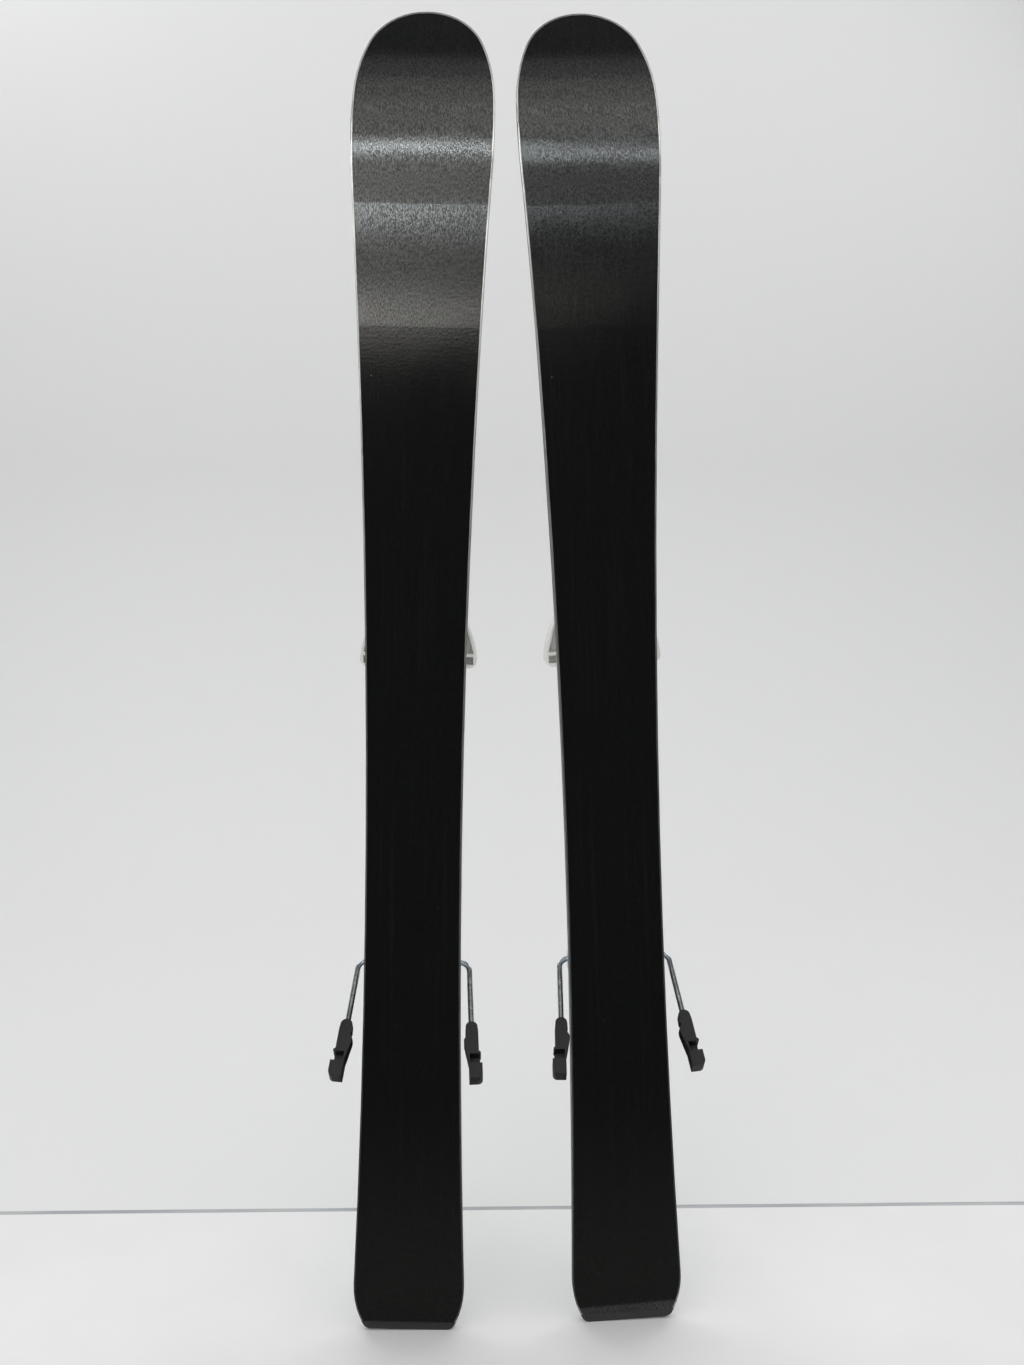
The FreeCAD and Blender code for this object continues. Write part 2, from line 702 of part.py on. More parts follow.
def add_toe_housing(ski):
    piece = Piece(ski, "toe_housing")
    bottom = P.middle_thickness + P.toe_base_thickness
    rear = P.wing_pin_z - 19
    half = P.toe_half
    waist = P.wing_pin_z + 30
    nose_half = half - 6
    nose_r = 12.0
    piece.pad(PLAN, bottom, P.toe_top - bottom, [
        (-half, rear),
        (half, rear),
        (half, waist),
        (nose_half, P.toe_front - nose_r, nose_r),
        (nose_half - nose_r, P.toe_front),
        (-nose_half + nose_r, P.toe_front, nose_r),
        (-nose_half, P.toe_front - nose_r),
        (-half, waist),
    ])
    # The top falls away to the front and to the boot
    sky = P.toe_top + 5
    piece.cut(SIDE, 0, TALL, [
        (P.toe_top - 3.5, rear - 5),
        (P.toe_top - 3.5, rear, 20),
        (P.toe_top - 0.5, rear + 10),
        (P.toe_top - 1.5, P.toe_front - 34, 72),
        (P.spring_axis + P.spring_bore + 3, P.toe_front),
        (P.spring_axis + P.spring_bore + 3, P.toe_front + 5),
        (sky, P.toe_front + 5),
        (sky, rear - 5),
    ], both=True)
    shoulder = P.spring_axis.value + 12
    piece.round(5.0, lambda x, y, z, edge: abs(x) > 15 and y > shoulder and z > rear.value + 1)
    # One pocket for each wing, open to the side and towards the boot
    gap = 0.4
    round_hub = P.wing_hub_radius + gap
    inner = P.wing_pin_x - round_hub
    outer = P.wing_pin_x + round_hub
    web_half = 7.0
    for side in (-1, 1):
        pocket = [
            (web_half, rear - 10),
            (web_half, rear + 1),
            (inner, P.wing_pin_z - 1),
            (inner, P.wing_pin_z, -round_hub),
            (P.wing_pin_x, P.wing_pin_z + round_hub, -round_hub),
            (outer, P.wing_pin_z),
            (half + 10, P.wing_pin_z),
            (half + 10, rear - 10),
        ]
        piece.cut(PLAN, P.wing_bottom - 0.5, P.wing_top - P.wing_bottom + 1, mirrored(pocket, side))
    pins = [(side * P.wing_pin_x.value, P.wing_pin_z, P.wing_pin_radius) for side in (-1, 1)]
    piece.cut(PLAN, PIN_LOW, TALL, circles=pins)
    # Bore for the release spring, open at the front
    piece.cut(CROSS, P.wing_pin_z + 14, TALL, circles=[(0, P.spring_axis, P.spring_bore)])
    # Window over the release setting
    piece.cut(PLAN, P.toe_top - 3, 10, rectangle(-5, P.toe_front - 56, 5, P.toe_front - 40))
    piece.done()


def add_toe_wing(ski, side):
    """One jaw of the toe piece, which swings outwards about its pin; side is 1 on the right."""
    name = "toe_wing_right" if side > 0 else "toe_wing_left"
    piece = Piece(ski, name)
    hub = P.wing_hub_radius
    pin_x = P.wing_pin_x
    pin_z = P.wing_pin_z
    gap = 0.3
    centre_z = P.boot_toe_at - P.toe_sole_radius
    face_r = P.toe_sole_radius + gap
    low = (face_r * math.cos(math.radians(5)), centre_z + face_r * math.sin(math.radians(5)))
    inner = (face_r * math.cos(math.radians(76)), centre_z + face_r * math.sin(math.radians(76)))
    reach = P.wing_reach
    tail_z = low[1] + 8.4
    flank_z = pin_z - 26
    plan = [
        (low[0], low[1], face_r),
        inner,
        (inner[0], inner[1] + 4),
        (pin_x - hub, pin_z, -hub),
        (pin_x, pin_z + hub, -hub),
        (pin_x + hub, pin_z),
        (reach - 8.5, flank_z, -90),
        (reach, tail_z, -6),
        (reach - 2.5, low[1] + 1.5),
        (reach - 5, low[1]),
    ]
    piece.pad(PLAN, P.wing_bottom, P.wing_top - P.wing_bottom, mirrored(plan, side))
    # Lip over the boot's toe lug
    lip_r = face_r - 7
    lip_low = (lip_r * math.cos(math.radians(20)), centre_z + lip_r * math.sin(math.radians(20)))
    lip_high = (lip_r * math.cos(math.radians(74)), centre_z + lip_r * math.sin(math.radians(74)))
    root_high = (face_r * math.cos(math.radians(74)), centre_z + face_r * math.sin(math.radians(74)))
    root_low = (face_r * math.cos(math.radians(16)), centre_z + face_r * math.sin(math.radians(16)))
    lip = [
        (lip_low[0], lip_low[1], lip_r),
        lip_high,
        (root_high[0], root_high[1] + 0.5),
        (root_low[0] + 2, root_low[1]),
    ]
    lip_bottom = P.toe_rest + P.toe_lug + 0.6
    piece.pad(PLAN, lip_bottom, P.wing_top - lip_bottom, mirrored(lip, side))
    # Two hollows in the underside with a rib between them
    depth = 12.0
    wall = 2.2
    long_hollow = [
        (reach - 9, tail_z + 4.5),
        (reach - wall - 0.6, tail_z + 4.5),
        (reach - wall - 7.2, flank_z - 1),
        (pin_x + 11, pin_z - 18),
        (pin_x + 6, pin_z - 26),
    ]
    short_hollow = rectangle(reach - 9.5, low[1] + 3.2, reach - wall - 0.8, tail_z + 1.5)
    for hollow in (long_hollow, short_hollow):
        piece.cut(PLAN, P.wing_bottom, depth, mirrored(hollow, side))
    bore = P.wing_pin_radius + 0.05
    piece.cut(PLAN, P.wing_bottom, TALL, circles=[(side * pin_x.value, pin_z, bore)])
    piece.done()


def add_toe_wing_pins(ski):
    pins = []
    length = P.toe_top.value - 1.0 - PIN_LOW
    for side in (-1, 1):
        foot = Vector(side * P.wing_pin_x.value, PIN_LOW, P.wing_pin_z.value)
        pins.append(Part.makeCylinder(P.wing_pin_radius.value, length, foot, ALONG_Y))
    ski.keep_shape(Part.makeCompound(pins), "toe_wing_pins")


def coil(wire_radius, mean_radius, turns, length, start, direction):
    """A helical spring with a round wire, from start along a direction."""
    helix = Part.makeHelix(length / turns, length, mean_radius)
    section = Part.makeCircle(wire_radius, Vector(mean_radius, 0, 0), Vector(0, 1, 0))
    spring = Part.Wire(helix.Edges).makePipeShell([Part.Wire(section)], True, True)
    spring.Placement = Placement(start, Rotation(ALONG_Z, direction))
    return Part.makeCompound([spring])


def add_toe_spring(ski):
    start = Vector(0, P.spring_axis.value, P.wing_pin_z.value + 17)
    length = P.toe_front.value - 20 - start.z
    ski.keep_shape(coil(1.5, 6.8, 8, length, start, ALONG_Z), "toe_spring")


def add_adjusting_screw(ski, node, height, head_at, head_length, shank_to):
    """A release-value screw along Z: a slotted head at one end of a shank."""
    piece = Piece(ski, node)
    outward = 1 if head_length > 0 else -1
    inner = head_at - abs(head_length) * outward
    low = min(head_at, inner, key=float)
    piece.pad(CROSS, low, abs(head_length), circles=[(0, height, P.screw_head_radius)])
    shank_low = min(inner, shank_to, key=float)
    shank_length = abs(float(shank_to) - float(inner))
    piece.pad(CROSS, shank_low, shank_length, circles=[(0, height, P.screw_shank_radius)])
    slot_depth = 3.0
    slot_low = head_at - slot_depth if outward > 0 else head_at
    slot = rectangle(-P.screw_head_radius - 1, height - 0.9, P.screw_head_radius + 1, height + 0.9)
    piece.cut(CROSS, slot_low, slot_depth, slot)
    piece.done()


# --- Heel piece ---


def add_heel_track(ski):
    piece = Piece(ski, "heel_track")
    bottom = P.middle_thickness
    foot = bottom + P.track_foot
    head = bottom + P.track_height - 2
    top = bottom + P.track_height
    foot_half = P.track_half + 2
    right = [
        (foot_half, bottom),
        (foot_half, foot),
        (P.track_neck, foot),
        (P.track_neck, head),
        (P.track_half, head),
        (P.track_half, top),
    ]
    left = [(-x, y) for x, y in reversed(right)]
    piece.pad(CROSS, P.track_rear, P.track_front - P.track_rear, right + left)
    # The rack that the carriage locks into
    pitch = 6.0
    teeth = 17
    first = P.track_rear + 34
    slots = [rectangle(-4, first + pitch * i, 4, first + pitch * i + 3) for i in range(teeth)]
    piece.cut(PLAN, bottom, TALL, *slots)
    cut_screw_holes(piece, lambda z: z < 500)
    piece.done()


def add_heel_carriage(ski):
    piece = Piece(ski, "heel_carriage")
    gap = P.slide_gap
    track_top = P.middle_thickness + P.track_height
    bottom = P.middle_thickness + 0.4
    lip_low = P.middle_thickness + P.track_foot + gap
    lip_high = track_top - 2 - gap
    top = track_top + 4
    right = [
        (P.carriage_half, bottom),
        (P.carriage_half, top),
    ]
    inner = [
        (P.track_half + 2.4, bottom),
        (P.track_half + 2.4, lip_low),
        (P.track_neck + gap, lip_low),
        (P.track_neck + gap, lip_high),
        (P.track_half + gap, lip_high),
        (P.track_half + gap, track_top + gap),
    ]
    outline = right + [(-x, y) for x, y in reversed(right)]
    outline += [(-x, y) for x, y in inner]
    outline += list(reversed(inner))
    piece.pad(CROSS, P.carriage_rear, P.carriage_front - P.carriage_rear, outline)
    ear_inner = 14.0
    ear_width = 5.0
    ear_r = 9.0
    ear = [
        (top - 1, P.heel_pin_z - 11),
        (P.heel_pin_y, P.heel_pin_z - ear_r, ear_r),
        (P.heel_pin_y + ear_r, P.heel_pin_z, ear_r),
        (P.heel_pin_y, P.heel_pin_z + ear_r),
        (top - 1, P.heel_pin_z + 18),
    ]
    for start in (ear_inner, -ear_inner - ear_width):
        piece.pad(SIDE, start, ear_width, ear)
    bore = P.heel_pin_radius + 0.05
    piece.cut(SIDE, 0, P.carriage_half * 2, circles=[(P.heel_pin_y, P.heel_pin_z, bore)], both=True)
    piece.done()


def add_heel_housing(ski):
    piece = Piece(ski, "heel_housing")
    pin_y = P.heel_pin_y
    pin_z = P.heel_pin_z
    relief = 13.4
    piece.pad(SIDE, 0, P.heel_half * 2, [
        (pin_y - relief, pin_z),
        (pin_y - relief + 2, P.heel_face),
        (P.heel_lug_top + 7, P.heel_face, 24),
        (P.lever_pin_y + 7, P.lever_pin_z + 20, -24),
        (P.lever_pin_y + 9, P.lever_pin_z),
        (P.lever_pin_y + 2, P.lever_pin_z - 22, -60),
        (pin_y + 24, pin_z - 22),
        (pin_y, pin_z - relief, -relief),
    ], both=True)
    # The sides draw in towards the rear
    narrow = P.heel_half - 7
    for side in (-1, 1):
        flank = [
            (P.heel_half + 2, pin_z - 40),
            (P.heel_half + 2, P.heel_face - 30),
            (P.heel_half, P.heel_face - 30),
            (narrow, pin_z - 16),
            (narrow, pin_z - 40),
        ]
        piece.cut(PLAN, 0, 2 * TALL, mirrored(flank, side))
    shoulder = pin_y.value + 24
    face = P.heel_face.value
    piece.round(4.0, lambda x, y, z, edge: abs(x) > 20 and y > shoulder and z < face - 1)
    # Hollow over the ears, the spring and its screw
    hollow_half = 20.0
    hollow_top = P.heel_spring_axis + 10.5
    hollow = [
        (pin_y - relief - 5, pin_z - relief - 3),
        (pin_y - relief - 5, P.heel_face - 7),
        (hollow_top, P.heel_face - 7),
        (hollow_top, pin_z - relief + 1),
        (pin_y + 2, pin_z - relief + 1),
        (pin_y + 2, pin_z - relief - 3),
    ]
    piece.cut(SIDE, 0, 2 * hollow_half, hollow, both=True)
    # Slot for the lever, open to the top and the rear
    slot_half = P.lever_half + 0.5
    piece.cut(SIDE, 0, slot_half * 2, [
        (P.lever_pin_y - 12, P.lever_pin_z + 10),
        (P.lever_pin_y + 20, P.lever_pin_z + 10),
        (P.lever_pin_y + 20, pin_z - 40),
        (P.lever_pin_y - 26.5, pin_z - 40),
        (P.lever_pin_y - 22, pin_z - 16),
        (P.lever_pin_y - 12, P.lever_pin_z + 4),
    ], both=True)
    piece.cut(CROSS, pin_z - 40, 40, circles=[(0, P.heel_spring_axis, P.spring_bore)])
    pins = [(pin_y, pin_z, P.heel_pin_radius), (P.lever_pin_y, P.lever_pin_z, P.heel_pin_radius)]
    for pin in pins:
        piece.cut(SIDE, 0, P.heel_half * 3, circles=[pin], both=True)
    # Window over the release setting
    piece.cut(CROSS, pin_z - 30, 16, rectangle(-5, pin_y + 26.5, 5, pin_y + 30.5))
    piece.done()


def add_heel_cup(ski):
    """The cup that holds the boot's heel down, with the spur that the boot steps on."""
    piece = Piece(ski, "heel_cup")
    gap = 0.3
    face_r = P.heel_sole_radius + gap
    centre_z = P.boot_heel_at + P.heel_sole_radius
    front = P.boot_heel_at + 20
    back = P.heel_face
    half = P.heel_cup_half
    inner_half = math.sqrt(face_r.value ** 2 - (centre_z.value - front.value) ** 2)
    back_half = 26.0
    cup_low = 40.0
    cup_top = P.heel_lug_top + 7

    def ring(radius):
        reach = math.sqrt(radius.value ** 2 - (centre_z.value - front.value) ** 2)
        return [
            (half, front),
            (reach, front, -radius),
            (-reach, front),
            (-half, front),
            (-half, back + 18, 22),
            (-back_half, back),
            (back_half, back, 22),
            (half, back + 18),
        ]

    piece.pad(PLAN, cup_low, cup_top - cup_low, ring(face_r))
    lip_bottom = P.heel_lug_top + gap
    piece.pad(PLAN, lip_bottom, cup_top - lip_bottom, ring(face_r - 6))
    spur_half = 20.0
    spur_low = 25.0
    piece.pad(PLAN, spur_low, cup_low + 1 - spur_low, rectangle(-back_half, back, back_half, back + 7))
    piece.pad(PLAN, spur_low, 4.5, rectangle(-spur_half, back, spur_half, front - 2))
    piece.done()


def add_heel_lever(ski):
    piece = Piece(ski, "heel_lever")
    pin_y = P.lever_pin_y
    pin_z = P.lever_pin_z
    hub = 8.0
    end_z = pin_z - 62
    piece.pad(SIDE, 0, P.lever_half * 2, [
        (pin_y + 8, end_z + 2, 5),
        (pin_y + 16.5, end_z + 1.5),
        (pin_y + 17, end_z + 8, 60),
        (pin_y + hub, pin_z - 2),
        (pin_y + hub, pin_z, 8),
        (pin_y, pin_z + hub, 8),
        (pin_y - hub, pin_z),
        (pin_y - hub + 0.5, pin_z - 6),
    ], both=True)
    # Dimple for the pole's tip, and hollow underside
    piece.cut(PLAN, pin_y + 12.5, 20, circles=[(0, end_z + 13, 7)])
    piece.cut(SIDE, 0, P.lever_half.value * 2 - 8, [
        (pin_y - 15, pin_z - 12),
        (pin_y + 4, pin_z - 12),
        (pin_y + 10, end_z + 8),
        (pin_y - 15, end_z + 8),
    ], both=True)
    bore = P.heel_pin_radius + 0.05
    piece.cut(SIDE, 0, P.lever_half * 3, circles=[(pin_y, pin_z, bore)], both=True)
    piece.done()


def add_heel_pins(ski):
    half = P.heel_half.value
    places = [
        (P.heel_pin_y.value, P.heel_pin_z.value, 28.0),
        (P.lever_pin_y.value, P.lever_pin_z.value, 30.0),
    ]
    pins = []
    for y, z, reach in places:
        reach = min(reach, half)
        pins.append(Part.makeCylinder(P.heel_pin_radius.value, 2 * reach, Vector(-reach, y, z), ALONG_X))
    ski.keep_shape(Part.makeCompound(pins), "heel_pins")


def add_heel_spring(ski):
    start = Vector(0, P.heel_spring_axis.value, P.heel_pin_z.value + 4)
    length = P.heel_face.value - 11 - start.z
    ski.keep_shape(coil(1.7, 6.6, 9, length, start, ALONG_Z), "heel_spring")


# --- Ski brake ---
# The brake's own frame has its pivot at the origin, with the arms along -Z.


def brake_place(turned):
    """Placement of the brake's frame on its pivot, turned about X in degrees."""
    pivot = Vector(0, P.brake_axis_y.value, P.brake_axis_z.value)
    return Placement(pivot, Rotation(ALONG_X, turned))


def add_brake_base(ski):
    """The frame that carries the brake's pivot, on the front of the heel carriage."""
    piece = Piece(ski, "brake_base")
    track_top = P.middle_thickness + P.track_height
    bottom = track_top + 0.3
    thick = 3.2
    half = 34.0
    inner = 27.0
    rear = P.carriage_front
    front = P.brake_axis_z + 51
    piece.pad(PLAN, bottom, thick, rectangle(-half, rear, half, front))
    window = rectangle(-inner, P.brake_axis_z - 9, inner, P.brake_axis_z + 8)
    piece.cut(PLAN, bottom, thick + 1, window)
    hollow = rectangle(-15, P.brake_axis_z + 16, 15, P.brake_axis_z + 42)
    piece.cut(PLAN, bottom, thick + 1, hollow)
    block_r = 6.0
    block = [
        (bottom, P.brake_axis_z - block_r - 1),
        (P.brake_axis_y, P.brake_axis_z - block_r, block_r),
        (P.brake_axis_y + block_r, P.brake_axis_z, block_r),
        (P.brake_axis_y, P.brake_axis_z + block_r),
        (bottom, P.brake_axis_z + block_r + 1),
    ]
    for start in (inner, -half):
        piece.pad(SIDE, start, half - inner, block)
    bore = P.wire_radius + 0.05
    piece.cut(SIDE, 0, 2 * half + 2, circles=[(P.brake_axis_y, P.brake_axis_z, bore)], both=True)
    piece.round(6.0, lambda x, y, z, edge: straight(edge, ALONG_Y) and abs(x) > half - 1 and z > 380)
    piece.done()


def add_brake_pedal(ski):
    """The plate that the boot's heel presses down, drawn as it lies when the brake is stowed."""
    piece = Piece(ski, "brake_pedal")
    hub = P.hub_radius
    half = 25.0
    plate_low = 1.5
    plate_high = 7.0
    piece.pad(SIDE, 0, P.hub_half * 2, circles=[(0, 0, hub)], both=True)
    piece.pad(PLAN, plate_low, plate_high - plate_low, [
        (-half, 14),
        (-P.hub_half, 3),
        (P.hub_half, 3),
        (half, 14),
        (half, 46, 8),
        (half - 7, 53),
        (-half + 7, 53, 8),
        (-half, 46),
    ])
    piece.cut(SIDE, 0, P.hub_half * 3, circles=[(0, 0, P.wire_radius)], both=True)
    grooves = [rectangle(-half + 6, 20 + 7 * i, half - 6, 22.5 + 7 * i) for i in range(4)]
    piece.cut(PLAN, plate_high - 1.2, 3, *grooves)
    piece.done(brake_place(-P.brake_lift.value))


def add_brake_arm(ski, side):
    """One bent wire: across the ski on the pivot, then back along the outside of the ski."""
    name = "brake_arm_right" if side > 0 else "brake_arm_left"
    piece = Piece(ski, name)
    lean = math.radians(P.arm_splay.value)
    bend = P.wire_bend.value
    corner = P.arm_spread.value
    tangent = bend * math.tan(math.radians(90 - P.arm_splay.value) / 2)
    wire_end = P.arm_length.value - 24
    inner = 1.0
    bend_end = (corner + tangent * math.sin(lean), -tangent * math.cos(lean))
    tip = (corner + wire_end * math.sin(lean), -wire_end * math.cos(lean))
    path = piece.sketch(PLAN, 0)
    start = (side * inner, 0)
    turn = (side * (corner - tangent), 0)
    after = (side * bend_end[0], bend_end[1])
    last = (side * tip[0], tip[1])
    add_open_path(path, start, turn, after, last, side * -bend)
    section = piece.sketch(SIDE, side * inner, circles=[(0, 0, P.wire_radius)])
    sweep = piece.body.newObject("PartDesign::AdditivePipe", "Wire")
    sweep.Profile = section
    sweep.Spine = (path, ["Edge1", "Edge2", "Edge3"])
    piece.done(brake_place(-P.brake_drop.value))


def add_open_path(sketch, start, turn, after, last, radius):
    """A straight run, an arc of a radius and another straight run."""
    corners = [Vector(x, y, 0) for x, y in (start, turn, after, last)]
    sketch.addGeometry(Part.LineSegment(corners[0], corners[1]))
    centre = arc_centre(corners[1], corners[2], radius)
    angles = [math.atan2(p.y - centre.y, p.x - centre.x) for p in corners[1:3]]
    if radius < 0:
        angles.reverse()
    circle = Part.Circle(centre, Vector(0, 0, 1), abs(radius))
    sketch.addGeometry(Part.ArcOfCircle(circle, *angles))
    sketch.addGeometry(Part.LineSegment(corners[2], corners[3]))
    arc_start, arc_end = (1, 2) if radius > 0 else (2, 1)
    sketch.addConstraint(Sketcher.Constraint("Coincident", 0, 2, 1, arc_start))
    sketch.addConstraint(Sketcher.Constraint("Coincident", 1, arc_end, 2, 1))
    for index, end, corner in ((0, 1, start), (0, 2, turn), (2, 1, after), (2, 2, last)):
        fix_point(sketch, index, end, corner)
    sketch.addConstraint(Sketcher.Constraint("Radius", 1, abs(radius)))


def add_brake_foot(ski, side):
    """The plastic claw on a brake arm, drawn along the arm from its corner at the origin."""
    name = "brake_foot_right" if side > 0 else "brake_foot_left"
    piece = Piece(ski, name)
    end = -P.arm_length
    top = end + P.foot_length
    half = P.foot_half
    crown = half - 0.4
    lip = half + 1.6
    notch = half + 0.8
    notch_low = end + 13.5
    notch_high = end + 22.0
    toe = half + 2.6
    toe_round = 4.0
    heel = -half + 2.1
    bulge = -half - 1.4
    plan = [
        (-crown, top - crown, -crown),
        (0, top, -crown),
        (crown, top - crown),
        (half, top - crown - 4),
        (half, notch_high + 2.6),
        (lip, notch_high + 1.4),
        (lip, notch_high),
        (notch, notch_high),
        (notch, notch_low),
        (toe, notch_low),
        (toe, end + toe_round, -toe_round),
        (toe - toe_round, end),
        (heel, end),
        (heel, end + 15),
        (bulge, end + 32),
        (bulge, end + 35),
        (-half + 1, end + 39),
        (-half, end + 41),
    ]
    low = -4.5
    thin = 4.5
    deep = 9.0
    piece.pad(PLAN, low, deep - low, mirrored(plan, side))
    # The claw is deeper towards its end
    piece.cut(SIDE, 0, 60, [
        (thin, top + 5),
        (thin, top - 14),
        (deep, end + 18),
        (deep + 5, end + 18),
        (deep + 5, top + 5),
    ], both=True)
    # Recess in the face, open to the outer side
    pocket = rectangle(-half + 3.2, notch_low, toe + 1, notch_high)
    piece.cut(PLAN, low, 9.0, mirrored(pocket, side))
    local = brake_place(-P.brake_drop.value)
    corner = Vector(side * P.arm_spread.value, 0, 0)
    local = local.multiply(Placement(corner, Rotation(ALONG_Y, -side * P.arm_splay.value)))
    piece.done(local)


def add_brake_spring(ski):
    """Two torsion springs on the pivot wires, one each side of the pedal's hub."""
    length = 10.0
    coils = []
    for start in (P.hub_half.value + 1.5, -P.hub_half.value - 1.5 - length):
        coils.append(coil(0.8, 3.6, 5, length, Vector(start, 0, 0), ALONG_X))
    ski.keep_shape(Part.makeCompound(coils), "brake_spring", brake_place(-P.brake_drop.value))


# --- Both skis ---

for ski in (Ski("left", -1), Ski("right", 1)):
    add_laminate(ski)
    add_binding_screws(ski)
    add_toe_base_plate(ski)
    add_afd_pad(ski)
    add_toe_housing(ski)
    add_toe_wing(ski, -1)
    add_toe_wing(ski, 1)
    add_toe_wing_pins(ski)
    add_toe_spring(ski)
    add_adjusting_screw(ski, "toe_adjusting_screw", P.spring_axis, P.toe_front - 1, 11,
                        P.wing_pin_z + 18)
    add_heel_track(ski)
    add_heel_carriage(ski)
    add_heel_housing(ski)
    add_heel_cup(ski)
    add_heel_lever(ski)
    add_heel_pins(ski)
    add_heel_spring(ski)
    add_adjusting_screw(ski, "heel_adjusting_screw", P.heel_spring_axis, P.heel_pin_z - 17, -12,
                        P.heel_face - 10)
    add_brake_base(ski)
    add_brake_pedal(ski)
    for side in (-1, 1):
        add_brake_arm(ski, side)
        add_brake_foot(ski, side)
    add_brake_spring(ski)

doc.recompute()

failed = [o.Label for o in doc.Objects if "Invalid" in o.State or "Error" in o.State]
failed += [o.Label for o in kept if o.Shape.isNull() or not o.Shape.isValid()]
if failed:
    raise RuntimeError(f"these did not build: {sorted(set(failed))}")

os.makedirs("parts", exist_ok=True)
for part in kept:
    part.Shape.exportStep(f"parts/{part.Label}.step")
print(len(kept), "sub-parts written")
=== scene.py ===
import json
import math

import bmesh
import bpy
from mathutils import Matrix, Vector
from mathutils.bvhtree import BVHTree


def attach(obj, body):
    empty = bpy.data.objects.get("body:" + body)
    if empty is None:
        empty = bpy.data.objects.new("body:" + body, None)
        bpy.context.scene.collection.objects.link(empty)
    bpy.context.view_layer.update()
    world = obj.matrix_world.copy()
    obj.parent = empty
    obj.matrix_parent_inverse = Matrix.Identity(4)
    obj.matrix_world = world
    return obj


# A pair of alpine skis stood on their tails, running bases to the front (-Y), bindings behind (+Y).
# Everything is in metres in the row frame. Places on a ski are given in that ski's own frame:
#   X across the ski, Y up from the running base, Z from the tail end to the tip.

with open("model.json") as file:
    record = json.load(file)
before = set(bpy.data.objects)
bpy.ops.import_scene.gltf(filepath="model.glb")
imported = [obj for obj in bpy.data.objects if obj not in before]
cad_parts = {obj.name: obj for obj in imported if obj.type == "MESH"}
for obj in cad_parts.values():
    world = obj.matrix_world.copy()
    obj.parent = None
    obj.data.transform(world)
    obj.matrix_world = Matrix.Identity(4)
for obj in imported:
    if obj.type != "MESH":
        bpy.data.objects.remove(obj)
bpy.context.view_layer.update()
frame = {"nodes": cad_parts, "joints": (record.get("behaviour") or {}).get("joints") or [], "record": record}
NODES = frame["nodes"]
RECORD = frame["record"]
SKIS = ("left", "right")
MM = 0.001
BASE_MOUNT_AT = 0.460  # how far a ski's base mount is from its tail end


# --- The frame of each ski ---


def ski_matrix(ski):
    """Turns places in a ski's own frame into the row frame, by its base mount and carriage slide."""
    mount = next(m for m in RECORD["mounts"] if m["name"] == f"{ski}_base_face")
    slide = next(j for j in frame["joints"] if j["name"] == f"{ski}_carriage_slide")
    along = Vector(slide["axis"]).normalized()
    up = -Vector(mount["axis"])
    sideways = up.cross(along).normalized()
    turned = Matrix((sideways, up, along)).transposed().to_4x4()
    return Matrix.Translation(Vector(mount["pos_m"]) - along * BASE_MOUNT_AT) @ turned


PLACE = {ski: ski_matrix(ski) for ski in SKIS}


# --- Materials ---


